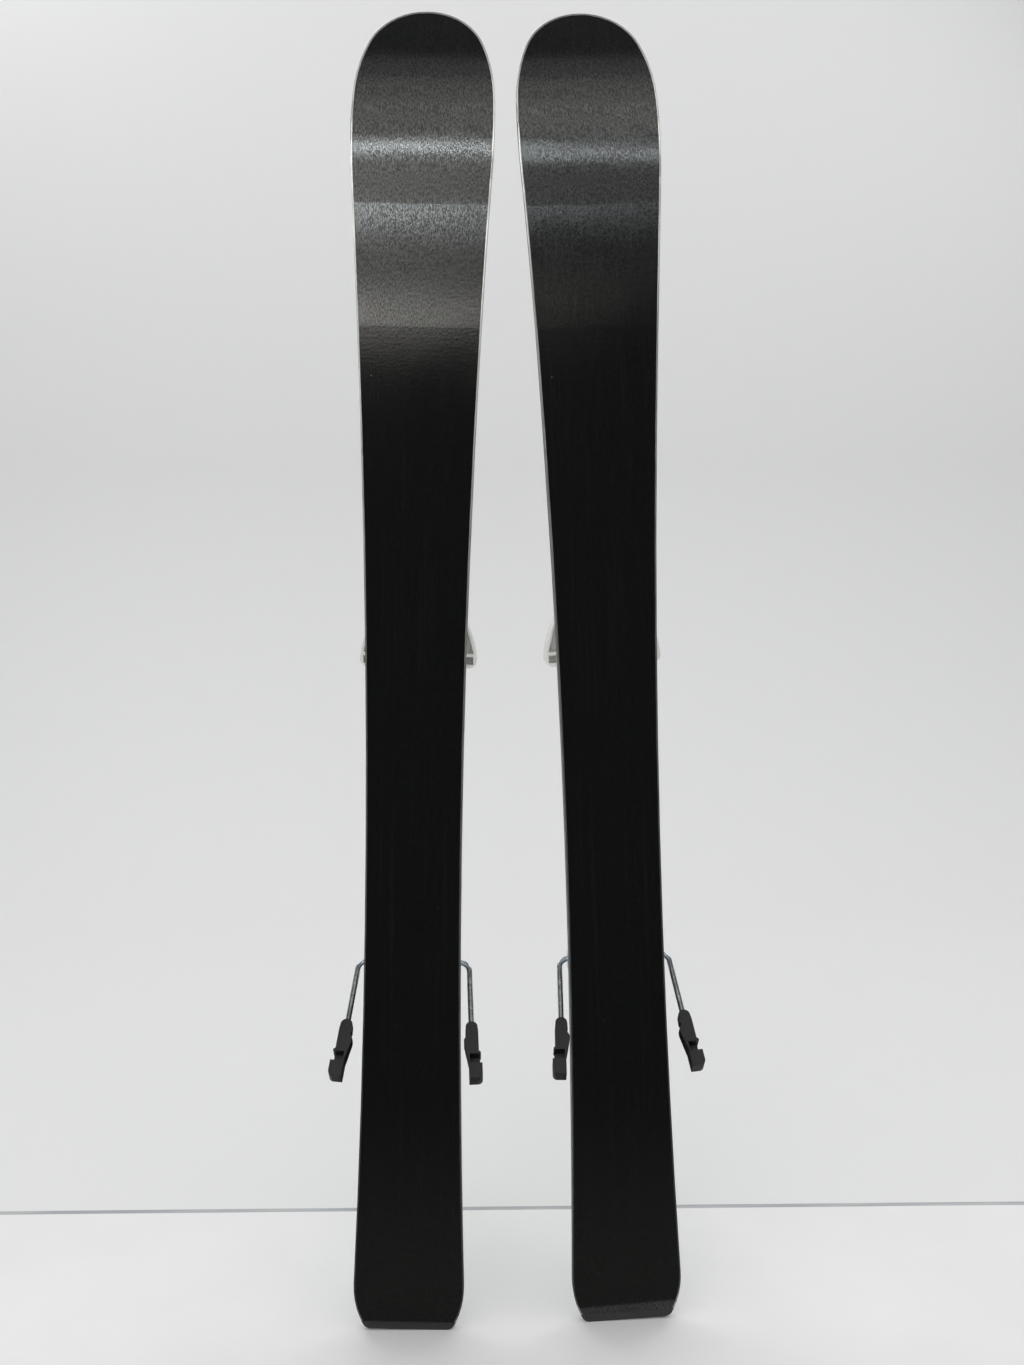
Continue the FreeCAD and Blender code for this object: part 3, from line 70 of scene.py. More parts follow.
class Finish:
    """A Principled material, with short calls for the nodes that feed it."""

    def __init__(self, name, **values):
        self.material = bpy.data.materials.new(name)
        self.material.use_nodes = True
        self.tree = self.material.node_tree
        self.shader = self.tree.nodes["Principled BSDF"]
        self.set(**values)

    @staticmethod
    def socket_name(key):
        return key.replace("_", " ").title().replace("Ior", "IOR")

    def node(self, kind, inputs=(), **settings):
        node = self.tree.nodes.new(f"ShaderNode{kind}")
        for key, value in settings.items():
            setattr(node, key, value)
        for key, value in dict(inputs).items():
            self.feed(node.inputs[key], value)
        return node

    def feed(self, socket, value):
        if isinstance(value, bpy.types.NodeSocket):
            self.tree.links.new(value, socket)
        elif hasattr(value, "__len__") and len(value) == 3 and len(socket.default_value) == 4:
            socket.default_value = (*value, 1)
        else:
            socket.default_value = value

    def set(self, **sockets):
        """Links or sets sockets of the shader, such as base_color=..., roughness=..."""
        for key, value in sockets.items():
            self.feed(self.shader.inputs[self.socket_name(key)], value)

    def place(self, ski=None, stretch=(1, 1, 1)):
        """Coordinates on the piece, in metres: the ski's own frame if one is named, then scaled."""
        here = self.node("TexCoord").outputs["Object"]
        if ski:
            back = PLACE[ski].inverted()
            here = self.node(
                "Mapping",
                {"Vector": here, "Location": back.translation, "Rotation": back.to_euler()},
            ).outputs["Vector"]
        return self.node("Mapping", {"Vector": here, "Scale": stretch}).outputs["Vector"]

    def axis(self, ski):
        """Direction across a ski, for the highlights that its lengthwise grain spreads."""
        return self.node(
            "VectorTransform",
            {"Vector": PLACE[ski].col[0].to_3d()},
            vector_type="VECTOR", convert_from="OBJECT", convert_to="WORLD",
        ).outputs["Vector"]

    def noise(self, where, scale, detail, roughness, distortion=0.0):
        return self.node(
            "TexNoise",
            {"Vector": where, "Scale": scale, "Detail": detail, "Roughness": roughness,
             "Distortion": distortion},
        ).outputs["Fac"]

    def spots(self, where, scale, low, high):
        """1 in scattered small spots and 0 between them."""
        cells = self.node("TexVoronoi", {"Vector": where, "Scale": scale}).outputs["Distance"]
        return self.span(cells, low, high, 1.0, 0.0)

    def span(self, value, low, high, to_low=0.0, to_high=1.0, smooth=True):
        """Maps the range low to high onto another one, held at its ends."""
        return self.node(
            "MapRange",
            {"Value": value, "From Min": low, "From Max": high, "To Min": to_low, "To Max": to_high},
            interpolation_type="SMOOTHSTEP" if smooth else "LINEAR",
        ).outputs["Result"]

    def maths(self, operation, first, second=0.0, third=0.0):
        node = self.node("Math", operation=operation)
        for socket, value in zip(node.inputs, (first, second, third)):
            self.feed(socket, value)
        return node.outputs["Value"]

    def mix(self, share, first, second):
        """The first colour where the share is 0, the second where it is 1."""
        node = self.node("Mix", data_type="RGBA")
        for name, value in (("Factor_Float", share), ("A_Color", first), ("B_Color", second)):
            socket = next(s for s in node.inputs if s.identifier == name)
            self.feed(socket, value)
        return next(s for s in node.outputs if s.identifier == "Result_Color")

    def split(self, where):
        return self.node("SeparateXYZ", {"Vector": where}).outputs

    def bump(self, height, distance, strength=1.0, normal=None):
        node = self.node("Bump", {"Height": height, "Distance": distance, "Strength": strength})
        if normal:
            self.feed(node.inputs["Normal"], normal)
        return node.outputs["Normal"]

    def edges(self, radius):
        """1 on sharp edges and 0 on flats."""
        rounded = self.node("Bevel", {"Radius": radius}, samples=4).outputs["Normal"]
        flat = self.node("NewGeometry").outputs["Normal"]
        turned = self.node("VectorMath", {0: rounded, 1: flat}, operation="DOT_PRODUCT").outputs["Value"]
        return self.span(self.maths("SUBTRACT", 1.0, turned), 0.02, 0.25)


WHITE = ((0.70, 0.70, 0.66), (0.80, 0.80, 0.77))
BRIGHT_WHITE = ((0.80, 0.80, 0.74), (0.88, 0.88, 0.83))
BLACK = ((0.012, 0.012, 0.012), (0.022, 0.022, 0.022))
DEEP_BLACK = ((0.004, 0.004, 0.004), (0.008, 0.008, 0.008))
CHARCOAL = ((0.018, 0.018, 0.019), (0.032, 0.032, 0.034))
GREY = ((0.40, 0.42, 0.44), (0.50, 0.52, 0.54))
STAIN = (0.22, 0.19, 0.15)
NAVY = (0.05, 0.07, 0.10)
BLUE = (0.16, 0.34, 0.48)
PALE = (0.86, 0.89, 0.91)
# The topsheet's bands: from and to, as shares of the way from tail to tip, and the colour
BANDS = (
    (0.035, 0.075, NAVY),
    (0.085, 0.093, PALE),
    (0.700, 0.760, BLUE),
    (0.772, 0.782, BLUE),
    (0.905, 0.960, NAVY),
    (0.972, 0.979, NAVY),
)
BAND_EDGE = 0.0006


def base_sheet(ski):
    """Black sintered base with a fine lengthwise ground structure that sparkles, specks of dust and a
    lighter tail end.
    """
    m = Finish(f"base_sheet_{ski}", anisotropic=0.9)
    here = m.place(ski)
    grain = m.noise(m.place(ski, (2600, 200, 30)), 1.0, 3, 0.6)
    dashes = m.noise(m.place(ski, (1250, 200, 420)), 1.0, 2, 0.6)
    streaks = m.noise(m.place(ski, (300, 40, 4)), 1.0, 3, 0.6)
    cloud = m.noise(here, 9.0, 3, 0.5)
    shade = m.mix(m.span(grain, 0.35, 0.75), (0.0028, 0.0032, 0.0030), (0.0056, 0.0060, 0.0056))
    shade = m.mix(m.span(streaks, 0.5, 0.8, 0.0, 0.5), shade, (0.0100, 0.0104, 0.0096))
    # Lighter towards the tail end, over the lowest 0.24 m of the base
    shade = m.mix(m.span(m.split(here)["Z"], 0.02, 0.24, 0.75, 0.0), shade, (0.0130, 0.0136, 0.0120))
    dust = m.spots(here, 40.0, 0.009, 0.016)
    m.set(base_color=m.mix(m.maths("MULTIPLY", dust, 0.7), shade, (0.40, 0.39, 0.36)))
    rough = m.span(grain, 0.3, 0.75, 0.14, 0.19)
    m.set(roughness=m.maths("ADD", rough, m.span(cloud, 0.3, 0.7, -0.02, 0.03)))
    m.set(specular_ior_level=m.span(dashes, 0.36, 0.64, 0.28, 0.72))
    waves = m.bump(m.noise(m.place(ski, (9, 9, 11)), 1.0, 1, 0.4), 0.0003)
    ripple = m.bump(dashes, 0.00006, 1.0, waves)
    m.set(normal=m.bump(grain, 0.00001, 1.0, ripple))
    m.set(tangent=m.axis(ski))
    return m.material


def edge_steel(ski):
    """Ground steel edge, brushed along its length, with a little grime."""
    m = Finish(f"edge_steel_{ski}", metallic=1.0)
    brushed = m.noise(m.place(ski, (3000, 3000, 60)), 1.0, 3, 0.6)
    grime = m.noise(m.place(ski), 30.0, 4, 0.6)
    clean = m.mix(m.span(brushed, 0.3, 0.7), (0.34, 0.34, 0.32), (0.52, 0.52, 0.50))
    m.set(base_color=m.mix(m.span(grime, 0.5, 0.75, 0.0, 0.7), clean, (0.16, 0.14, 0.11)))
    m.set(roughness=m.span(grime, 0.3, 0.8, 0.34, 0.55))
    m.set(normal=m.bump(brushed, 0.00004))
    return m.material


def milled_plastic(ski):
    """Black sidewall, milled along its length."""
    m = Finish(f"sidewall_{ski}")
    milled = m.noise(m.place(ski, (900, 2400, 10)), 1.0, 3, 0.6)
    worn = m.noise(m.place(ski), 60.0, 4, 0.6)
    shade = m.mix(m.span(milled, 0.3, 0.7), (0.012, 0.012, 0.013), (0.030, 0.030, 0.032))
    m.set(base_color=m.mix(m.span(worn, 0.62, 0.8, 0, 0.5), shade, (0.09, 0.09, 0.09)))
    m.set(roughness=m.span(milled, 0.2, 0.8, 0.42, 0.62))
    m.set(normal=m.bump(milled, 0.00008))
    return m.material


def plastic(name, tones, roughness, wear, worn=0.35, coat=0.0):
    """Moulded plastic between two tones, with a fine skin, scuffs and edges rubbed to the wear colour."""
    m = Finish(name, coat_weight=coat, coat_roughness=0.12)
    where = m.place()
    tone = m.noise(where, 14.0, 3, 0.5)
    skin = m.noise(where, 2600.0, 2, 0.5)
    scuff = m.noise(m.place(stretch=(260, 90, 40)), 1.0, 4, 0.65)
    shade = m.mix(m.span(tone, 0.3, 0.7), *tones)
    patches = m.span(m.noise(where, 120.0, 4, 0.6), 0.42, 0.62, 0, worn)
    rubbed = m.maths("MULTIPLY", m.edges(0.0006), patches)
    shade = m.mix(rubbed, shade, wear)
    m.set(base_color=m.mix(m.span(scuff, 0.64, 0.76, 0.0, 0.22), shade, wear))
    m.set(roughness=m.span(scuff, 0.25, 0.75, roughness - 0.07, roughness + 0.12))
    m.set(normal=m.bump(skin, 0.00003, 0.7, m.bump(scuff, 0.00004)))
    return m.material


def metal(name, tones, roughness=0.3, cloud_scale=220.0, stained=0.4):
    """Plated steel between two tones, with a fine satin, cloudy plating and a few dull stains."""
    m = Finish(name, metallic=1.0)
    where = m.place()
    cloud = m.noise(where, cloud_scale, 4, 0.6)
    satin = m.noise(where, 3800.0, 2, 0.5)
    stains = m.noise(where, 75.0, 5, 0.65)
    shade = m.mix(m.span(cloud, 0.3, 0.7), *tones)
    m.set(base_color=m.mix(m.span(stains, 0.6, 0.78, 0.0, stained), shade, STAIN))
    m.set(roughness=m.span(stains, 0.25, 0.8, roughness - 0.08, roughness + 0.18))
    m.set(normal=m.bump(satin, 0.00003, 0.6))
    return m.material


def topsheet(ski):
    """Glossy generic topsheet: a pale blue field that fades to white, with plain slanted bands."""
    m = Finish(f"topsheet_{ski}", roughness=0.3, coat_weight=0.7, coat_roughness=0.08)
    here = m.split(m.place(ski))
    slant = m.maths("MULTIPLY_ADD", here["X"], 0.9, here["Z"])
    share = m.span(slant, 0.0, 1.15, smooth=False)
    field = m.mix(m.span(share, 0.1, 0.75), (0.56, 0.74, 0.84), (0.86, 0.90, 0.92))
    for low, high, tone in BANDS:
        past_low = m.span(share, low, low + BAND_EDGE)
        before_high = m.span(share, high, high + BAND_EDGE, 1, 0)
        field = m.mix(m.maths("MULTIPLY", past_low, before_high), field, tone)
    flake = m.noise(m.place(ski), 900.0, 2, 0.5)
    scratch = m.noise(m.place(ski, (420, 60, 16)), 1.0, 4, 0.7, 0.3)
    field = m.mix(m.span(flake, 0.4, 0.8, 0, 0.10), field, (0.95, 0.97, 1.0))
    m.set(base_color=m.mix(m.span(scratch, 0.70, 0.80, 0, 0.25), field, (0.5, 0.52, 0.54)))
    m.set(roughness=m.span(scratch, 0.3, 0.75, 0.24, 0.45))
    m.set(normal=m.bump(flake, 0.00002, 0.5, m.bump(scratch, 0.00003)))
    return m.material


def wood(ski):
    """Light wood with its grain along the ski."""
    m = Finish(f"wood_core_{ski}", roughness=0.6)
    grain = m.noise(m.place(ski, (700, 120, 5)), 1.0, 5, 0.6, 0.4)
    m.set(base_color=m.mix(m.span(grain, 0.3, 0.7), (0.46, 0.30, 0.15), (0.72, 0.54, 0.32)))
    m.set(normal=m.bump(grain, 0.0001))
    return m.material


SHARED = {
    "white_shell": plastic("white_shell", WHITE, 0.34, (0.52, 0.51, 0.47), coat=0.25),
    "white_wing": plastic("white_wing", BRIGHT_WHITE, 0.36, (0.60, 0.58, 0.50), coat=0.2),
    "heel_cup": plastic("heel_cup_white", WHITE, 0.36, (0.48, 0.47, 0.44), worn=0.6, coat=0.2),
    "base_plate": plastic("base_plate", CHARCOAL, 0.5, (0.14, 0.14, 0.14)),
    "heel_lever": plastic("heel_lever_black", BLACK, 0.42, (0.16, 0.16, 0.16), worn=0.6),
    "brake_plastic": plastic("brake_plastic", DEEP_BLACK, 0.5, (0.05, 0.05, 0.05), worn=0.5),
    "tail_protector": plastic("tail_protector", BLACK, 0.4, (0.10, 0.10, 0.10), worn=0.5),
    "gliding_pad": plastic("gliding_pad", GREY, 0.22, (0.30, 0.30, 0.30)),
    "steel_pin": metal("steel_pin", ((0.52, 0.52, 0.52), (0.68, 0.68, 0.67))),
    "spring_steel": metal("spring_steel", ((0.30, 0.30, 0.31), (0.46, 0.46, 0.47)), 0.34),
    "zinc_screw": metal("zinc_screw", ((0.55, 0.55, 0.52), (0.72, 0.72, 0.68)), 0.32),
    "track_steel": metal("track_steel", ((0.40, 0.41, 0.42), (0.56, 0.57, 0.58))),
    "brake_wire": metal("brake_wire", ((0.62, 0.65, 0.68), (0.76, 0.79, 0.82)), 0.2, 60.0, stained=0.2),
}
OWN = {
    "base_sheet": base_sheet,
    "edge_steel": edge_steel,
    "sidewall": milled_plastic,
    "topsheet": topsheet,
    "wood_core": wood,
}
FINISHES = {ski: {**SHARED, **{slot: make(ski) for slot, make in OWN.items()}} for ski in SKIS}


# --- CAD sub-parts that keep their shape ---

SLOT_OF = {part["node"]: part["material_slot"] for part in RECORD["subparts"]}
# How far the edges of these sub-parts are rounded, in millimetres
ROUNDED = {
    "toe_wing_left": 0.5, "toe_wing_right": 0.5, "toe_housing": 0.4, "heel_housing": 0.5,
    "heel_cup": 0.6, "heel_lever": 0.6, "brake_foot_left": 0.5, "brake_foot_right": 0.5,
    "brake_pedal": 0.5, "brake_base": 0.3, "toe_base_plate": 0.4, "heel_carriage": 0.4,
    "topsheet": 0.3, "tail_protector": 0.4, "steel_edges": 0.12,
}


def soften(node, width, merge_flats):
    """Rounds a sub-part's sharp edges, over merged flats where thin slivers would crease."""
    weld = node.modifiers.new("weld", "WELD")
    weld.merge_threshold = 0.00001
    if merge_flats:
        flats = node.modifiers.new("flats", "DECIMATE")
        flats.decimate_type = "DISSOLVE"
        flats.angle_limit = math.radians(0.5)
    bevel = node.modifiers.new("bevel", "BEVEL")
    bevel.width = width * MM
    bevel.segments = 3
    bevel.limit_method = "ANGLE"
    bevel.angle_limit = math.radians(32)
    bevel.harden_normals = True
    bevel.miter_outer = "MITER_ARC"


def dress_node(name, node):
    """Gives a CAD sub-part its material and, if it is listed in ROUNDED, softer edges."""
    ski, part = name.split("_", 1)
    node.data.materials.clear()
    node.data.materials.append(FINISHES[ski][SLOT_OF[name]])
    if part in ROUNDED:
        soften(node, ROUNDED[part], part.startswith("toe_wing"))


for name, node in sorted(NODES.items()):
    dress_node(name, node)


# --- Small parts that lie on the CAD surfaces, in millimetres in the ski's own frame ---

# Each view: the way it looks, then the two axes that an outline's sizes are measured along
ABOVE = (Vector((0, -1, 0)), Vector((1, 0, 0)), Vector((0, 0, 1)))
BEHIND = (Vector((0, 0, 1)), Vector((1, 0, 0)), Vector((0, 1, 0)))
BESIDE = {
    "left": (Vector((1, 0, 0)), Vector((0, 1, 0)), Vector((0, 0, 1))),
    "right": (Vector((-1, 0, 0)), Vector((0, 1, 0)), Vector((0, 0, 1))),
}
SINK = 0.6  # how far a small part reaches into what it lies on
ARC_STEPS = 5
SIDE_STEPS = 12
RIM_STEPS = 4


def surface_of(ski, part):
    """The sub-part's faces, in the ski's own frame."""
    mesh = NODES[f"{ski}_{part}"].data
    back = PLACE[ski].inverted()
    points = [back @ vertex.co / MM for vertex in mesh.vertices]
    return BVHTree.FromPolygons(points, [tuple(face.vertices) for face in mesh.polygons])


def rounded_outline(half, radius):
    """Points round a rectangle with round corners, as many whatever its size."""
    arcs = []
    for quarter, (right, up) in enumerate(((1, 1), (-1, 1), (-1, -1), (1, -1))):
        centre = Vector((right * (half[0] - radius), up * (half[1] - radius)))
        for step in range(ARC_STEPS + 1):
            angle = math.pi / 2 * (quarter + step / ARC_STEPS)
            arcs.append(centre + radius * Vector((math.cos(angle), math.sin(angle))))
    points = []
    for i, point in enumerate(arcs):
        points.append(point)
        if i % (ARC_STEPS + 1) == ARC_STEPS:
            following = arcs[(i + 1) % len(arcs)]
            points += [point.lerp(following, step / SIDE_STEPS) for step in range(1, SIDE_STEPS)]
    return points


def plate_rings(half, rise):
    """(half sizes, height) of a plate's rings, from its sunk foot over a rounded rim to its middle."""
    rim = min(rise, 0.6 * min(half))
    rings = [(half, -SINK)]
    for step in range(RIM_STEPS + 1):
        angle = math.pi / 2 * step / RIM_STEPS
        inset = rim * (1 - math.cos(angle))
        rings.append(((half[0] - inset, half[1] - inset), rise - rim + rim * math.sin(angle)))
    top = rings[-1][0]
    for share in (0.7, 0.4, 0.1):
        rings.append(((top[0] * share, top[1] * share), rise))
    return rings


class SmallPart:
    """Raised plates on one sub-part's surface, joined into one piece."""

    def __init__(self, ski, name, body, on, slot):
        self.ski = ski
        self.name = f"{ski}_{name}"
        self.body = f"{ski}_{body}"
        self.on = surface_of(ski, on)
        self.slot = slot
        self.shape = bmesh.new()

    def plate(self, view, start, half, rise, radius=None):
        """A plate seen from a start point, of the given half sizes, standing proud by its rise."""
        sight, first, second = view
        if radius is None:
            radius = 0.95 * min(half)
        loops = []
        for size, height in plate_rings(half, rise):
            corner = max(radius * min(size) / min(half), 0.001)
            loop = []
            for across_by, along_by in rounded_outline(size, corner):
                eye = Vector(start) + across_by * first + along_by * second
                spot = self.on.ray_cast(eye, sight)[0]
                loop.append(self.shape.verts.new(spot - height * sight))
            loops.append(loop)
        for low, high in zip(loops, loops[1:]):
            for i in range(len(low)):
                j = (i + 1) % len(low)
                self.shape.faces.new((low[i], low[j], high[j], high[i]))
        self.shape.faces.new(loops[-1])
        self.shape.faces.new(list(reversed(loops[0])))

    def done(self):
        """Makes the piece, on its body."""
        bmesh.ops.recalc_face_normals(self.shape, faces=self.shape.faces)
        mesh = bpy.data.meshes.new(self.name)
        self.shape.to_mesh(mesh)
        self.shape.free()
        mesh.transform(PLACE[self.ski] @ Matrix.Scale(MM, 4))
        mesh.shade_smooth()
        mesh.materials.append(FINISHES[self.ski][self.slot])
        piece = bpy.data.objects.new(self.name, mesh)
        bpy.context.scene.collection.objects.link(piece)
        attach(piece, self.body)


def add_toe_details(ski):
    """Step pads, release scale and side ribs on the toe housing, and ribs on the gliding pad."""
    over = 90
    pads = SmallPart(ski, "toe_step_pad", "ski", "toe_housing", "base_plate")
    pads.plate(ABOVE, (0, over, 678), (13, 10), 0.5, 3)
    pads.plate(ABOVE, (0, over, 732), (10, 9), 0.5, 3)
    pads.done()
    treads = SmallPart(ski, "toe_step_ribs", "ski", "toe_housing", "base_plate")
    for i in range(4):
        treads.plate(ABOVE, (0, over, 671 + 4.6 * i), (10, 0.9), 1.0)
    treads.done()
    scale = SmallPart(ski, "toe_scale", "ski", "toe_housing", "white_shell")
    scale.plate(ABOVE, (0, over, 704), (4.2, 7.0), 0.5, 0.6)
    scale.done()
    marks = SmallPart(ski, "toe_scale_marks", "ski", "toe_housing", "heel_lever")
    for i in range(6):
        half_length = 1.6 if i % 2 else 2.2
        marks.plate(ABOVE, (-1.6, over, 699 + 2 * i), (half_length, 0.28), 0.7)
    marks.plate(ABOVE, (2.6, over, 703), (1.0, 1.0), 0.9)
    marks.done()
    ribs = SmallPart(ski, "toe_side_ribs", "ski", "toe_housing", "white_shell")
    for side, beside in (("left", -60), ("right", 60)):
        for i in range(5):
            ribs.plate(BESIDE[side], (beside, 40, 712 + 5 * i), (7.0 - 0.5 * i, 1.2), 0.7)
    ribs.done()
    glide = SmallPart(ski, "afd_ribs", "afd", "afd_pad", "gliding_pad")
    for i in range(5):
        glide.plate(ABOVE, (0, 60, 607 + 6 * i), (19, 1.3), 0.4)
    glide.done()


def add_heel_details(ski):
    """Side panels and a scale on the heel housing, ribs on the lever, treads on the heel cup."""
    panels = SmallPart(ski, "heel_side_panels", "heel", "heel_housing", "base_plate")
    ribs = SmallPart(ski, "heel_side_ribs", "heel", "heel_housing", "white_shell")
    for side, beside in (("left", -70), ("right", 70)):
        panels.plate(BESIDE[side], (beside, 60, 266), (8, 15), 0.5, 5)
        for i in range(4):
            ribs.plate(BESIDE[side], (beside, 60, 257 + 6 * i), (5, 1.1), 1.0)
    panels.done()
    ribs.done()
    scale_height = 64.5
    behind = 150
    scale = SmallPart(ski, "heel_scale", "heel", "heel_housing", "white_shell")
    scale.plate(BEHIND, (0, scale_height, behind), (4.2, 1.5), 0.5, 0.5)
    scale.done()
    marks = SmallPart(ski, "heel_scale_marks", "heel", "heel_housing", "heel_lever")
    for i in range(5):
        marks.plate(BEHIND, (-3.2 + 1.6 * i, scale_height, behind), (0.26, 1.1), 0.7)
    marks.done()
    grip = SmallPart(ski, "lever_grip", "lever", "heel_lever", "heel_lever")
    for i in range(5):
        grip.plate(ABOVE, (0, 130, 220 + 5 * i), (13, 1.1), 0.8)
    grip.done()
    over_cup = 90
    inside_cup = 38
    treads = SmallPart(ski, "heel_cup_treads", "heel", "heel_cup", "base_plate")
    for i in range(2):
        treads.plate(ABOVE, (0, over_cup, 307 + 5 * i), (17 - 2 * i, 1.2), 0.6)
        treads.plate(ABOVE, (0, inside_cup, 328 + 4.5 * i), (11, 1.0), 0.6)
    treads.done()


def add_ski_marks(ski):
    """Marks for the middle of the boot on the topsheet, and rivets in the tail protector."""
    marks = SmallPart(ski, "boot_marks", "ski", "topsheet", "sidewall")
    rivets = SmallPart(ski, "tail_rivets", "ski", "tail_protector", "zinc_screw")
    over = 40
    for side in (-1, 1):
        for i in range(-2, 3):
            half_length = 2.0 if i else 3.4
            marks.plate(ABOVE, (side * 36, over, 482 + 5 * i), (half_length, 0.5), 0.12)
        rivets.plate(ABOVE, (side * 20, over, 4.4), (1.8, 1.8), 0.5)
    marks.done()
    rivets.done()


for ski in SKIS:
    add_toe_details(ski)
    add_heel_details(ski)
    add_ski_marks(ski)


# --- Floor, backdrop, lights and camera ---

FLOOR_LINE = 0.189  # where the pale floor meets the backdrop, straight behind the skis
FLOOR_SLANT = -0.058  # how that line runs towards the camera, from left to right
# Width of the strip of painted shade along the floor line
SHADE_STRIP_WIDTH = 0.007
FRONT_LINE = -0.032  # the floor ahead of this is left out of reflections, so the bases stay black
WALL_AT = 2.1
WALL_TOP = 4.0
SWEEP = 0.9  # radius of the bend between ground and wall
SWEEP_STEPS = 24
WIDE = 4.0  # half the width of the floor and the backdrop


def add_stage(name, rows, material):
    """A surface that isn't part of the object, through pairs of corners."""
    mesh = bpy.data.meshes.new(name)
    corners = [corner for row in rows for corner in row]
    faces = [(2 * i, 2 * i + 1, 2 * i + 3, 2 * i + 2) for i in range(len(rows) - 1)]
    mesh.from_pydata(corners, [], faces)
    mesh.shade_smooth()
    mesh.materials.append(material)
    surface = bpy.data.objects.new(name, mesh)
    bpy.context.scene.collection.objects.link(surface)
    return surface


def across(y, z, slant=0.0):
    """The left and right ends of a line over the whole width."""
    return (-WIDE, y - slant * WIDE, z), (WIDE, y + slant * WIDE, z)


def add_floor():
    """A pale painted floor with faint marks."""
    m = Finish("floor_paint", roughness=0.5, specular_ior_level=0.3)
    mottle = m.noise(m.place(), 5.0, 5, 0.6)
    marks = m.noise(m.place(stretch=(9, 38, 9)), 1.0, 6, 0.7, 0.6)
    tone = m.mix(m.span(mottle, 0.3, 0.7), (0.80, 0.80, 0.79), (0.83, 0.83, 0.82))
    m.set(base_color=m.mix(m.span(marks, 0.62, 0.76, 0.0, 0.25), tone, (0.66, 0.66, 0.64)))
    m.set(roughness=m.span(mottle, 0.3, 0.7, 0.42, 0.6))
    # The floor ends where the strip of painted shade begins
    shade_strip_start = FLOOR_LINE - SHADE_STRIP_WIDTH
    front_line = across(FRONT_LINE, 0, FLOOR_SLANT)
    add_stage("floor", [front_line, across(shade_strip_start, 0, FLOOR_SLANT)], m.material)
    front = add_stage("floor_front", [across(-WIDE, 0), front_line], m.material)
    front.visible_glossy = False


def add_floor_line_shade():
    """Painted shade: a darker strip where the floor meets the backdrop."""
    m = Finish("floor_line_shade", roughness=0.8)
    # Blotchy tone of the painted shade along the strip
    grime = m.noise(m.place(stretch=(6, 60, 60)), 1.0, 4, 0.6)
    m.set(base_color=m.mix(m.span(grime, 0.3, 0.7), (0.36, 0.37, 0.39), (0.50, 0.51, 0.52)))
    add_stage("floor_line_shade", [
        across(FLOOR_LINE - SHADE_STRIP_WIDTH, 0, FLOOR_SLANT),
        across(FLOOR_LINE, 0, FLOOR_SLANT),
    ], m.material)


def add_backdrop():
    """A pale sheet on the ground behind the floor, swept up into a wall."""
    m = Finish("backdrop_paper", roughness=0.85, specular_ior_level=0.1)
    fibre = m.noise(m.place(), 700.0, 3, 0.6)
    m.set(base_color=m.mix(m.span(fibre, 0.3, 0.7), (0.76, 0.76, 0.755), (0.78, 0.78, 0.775)))
    bend_from = WALL_AT - SWEEP
    rows = [across(FLOOR_LINE, 0, FLOOR_SLANT), across(bend_from, 0)]
    for i in range(1, SWEEP_STEPS + 1):
        angle = math.pi / 2 * i / SWEEP_STEPS
        rows.append(across(bend_from + SWEEP * math.sin(angle), SWEEP - SWEEP * math.cos(angle)))
    rows.append(across(WALL_AT, WALL_TOP))
    add_stage("backdrop", rows, m.material)


NEUTRAL = (1, 1, 1)


def add_light(name, place, aim, size, radiance, color=NEUTRAL, diffuse=True, glossy=True):
    """A soft rectangular light at a place, facing a point, with a brightness over its face."""
    data = bpy.data.lights.new(name, "AREA")
    data.shape = "RECTANGLE"
    data.size, data.size_y = size
    data.energy = radiance * math.pi * size[0] * size[1]
    data.color = color
    light = bpy.data.objects.new(name, data)
    light.location = place
    light.rotation_euler = (Vector(aim) - Vector(place)).to_track_quat("-Z", "Y").to_euler()
    light.visible_camera = False
    light.visible_diffuse = diffuse
    light.visible_glossy = glossy
    bpy.context.scene.collection.objects.link(light)


SHOVELS = Vector((0, -0.02, 1.0))
PANEL_REACH = 3.2
TUBE_LIGHT = (0.90, 0.98, 1.0)
TUBE_LIGHT_RIGHT = (0.88, 0.97, 1.0)
WINDOW_LIGHT = (1.0, 0.97, 0.92)
CEILING_LEFT = (1.0, 0.98, 0.95)
CEILING_HIGH = (1.0, 0.99, 0.96)
# Panels that only reflections see, set so that the shovels' highlights fall where they should:
#   name, lowest and highest elevation, left and right end, brightness, colour
PANELS = (
    ("tube_high", 38.9, 40.1, -2.0, 0.2, 24, TUBE_LIGHT),
    ("tube_high_right", 36.6, 37.9, 0.2, 1.5, 14, TUBE_LIGHT),
    ("tube_low", 20.2, 21.8, -2.0, 0.0, 10.5, TUBE_LIGHT),
    ("tube_low_right", 20.6, 21.6, 0.0, 1.0, 6, TUBE_LIGHT_RIGHT),
    ("window_sill", 7.4, 9.0, -1.9, -0.3, 2.8, WINDOW_LIGHT),
    ("window", 9.0, 11.5, -1.9, -0.3, 7.5, WINDOW_LIGHT),
    ("ceiling_left_low", 11.5, 17.5, -2.4, -0.1, 1.8, CEILING_LEFT),
    ("ceiling_left", 17.5, 43.0, -2.4, -0.1, 2.7, CEILING_LEFT),
    ("ceiling_right", 24.0, 43.0, -0.1, 1.4, 0.75, NEUTRAL),
    ("ceiling_middle", 43.0, 54.0, -2.2, 2.2, 1.9, CEILING_HIGH),
    ("ceiling_top", 54.0, 61.0, -2.2, 2.2, 1.3, CEILING_HIGH),
    ("ceiling_end", 61.0, 68.0, -2.2, 2.2, 0.6, NEUTRAL),
    ("overhead", 68.0, 86.0, -2.2, 2.2, 0.1, NEUTRAL),
)


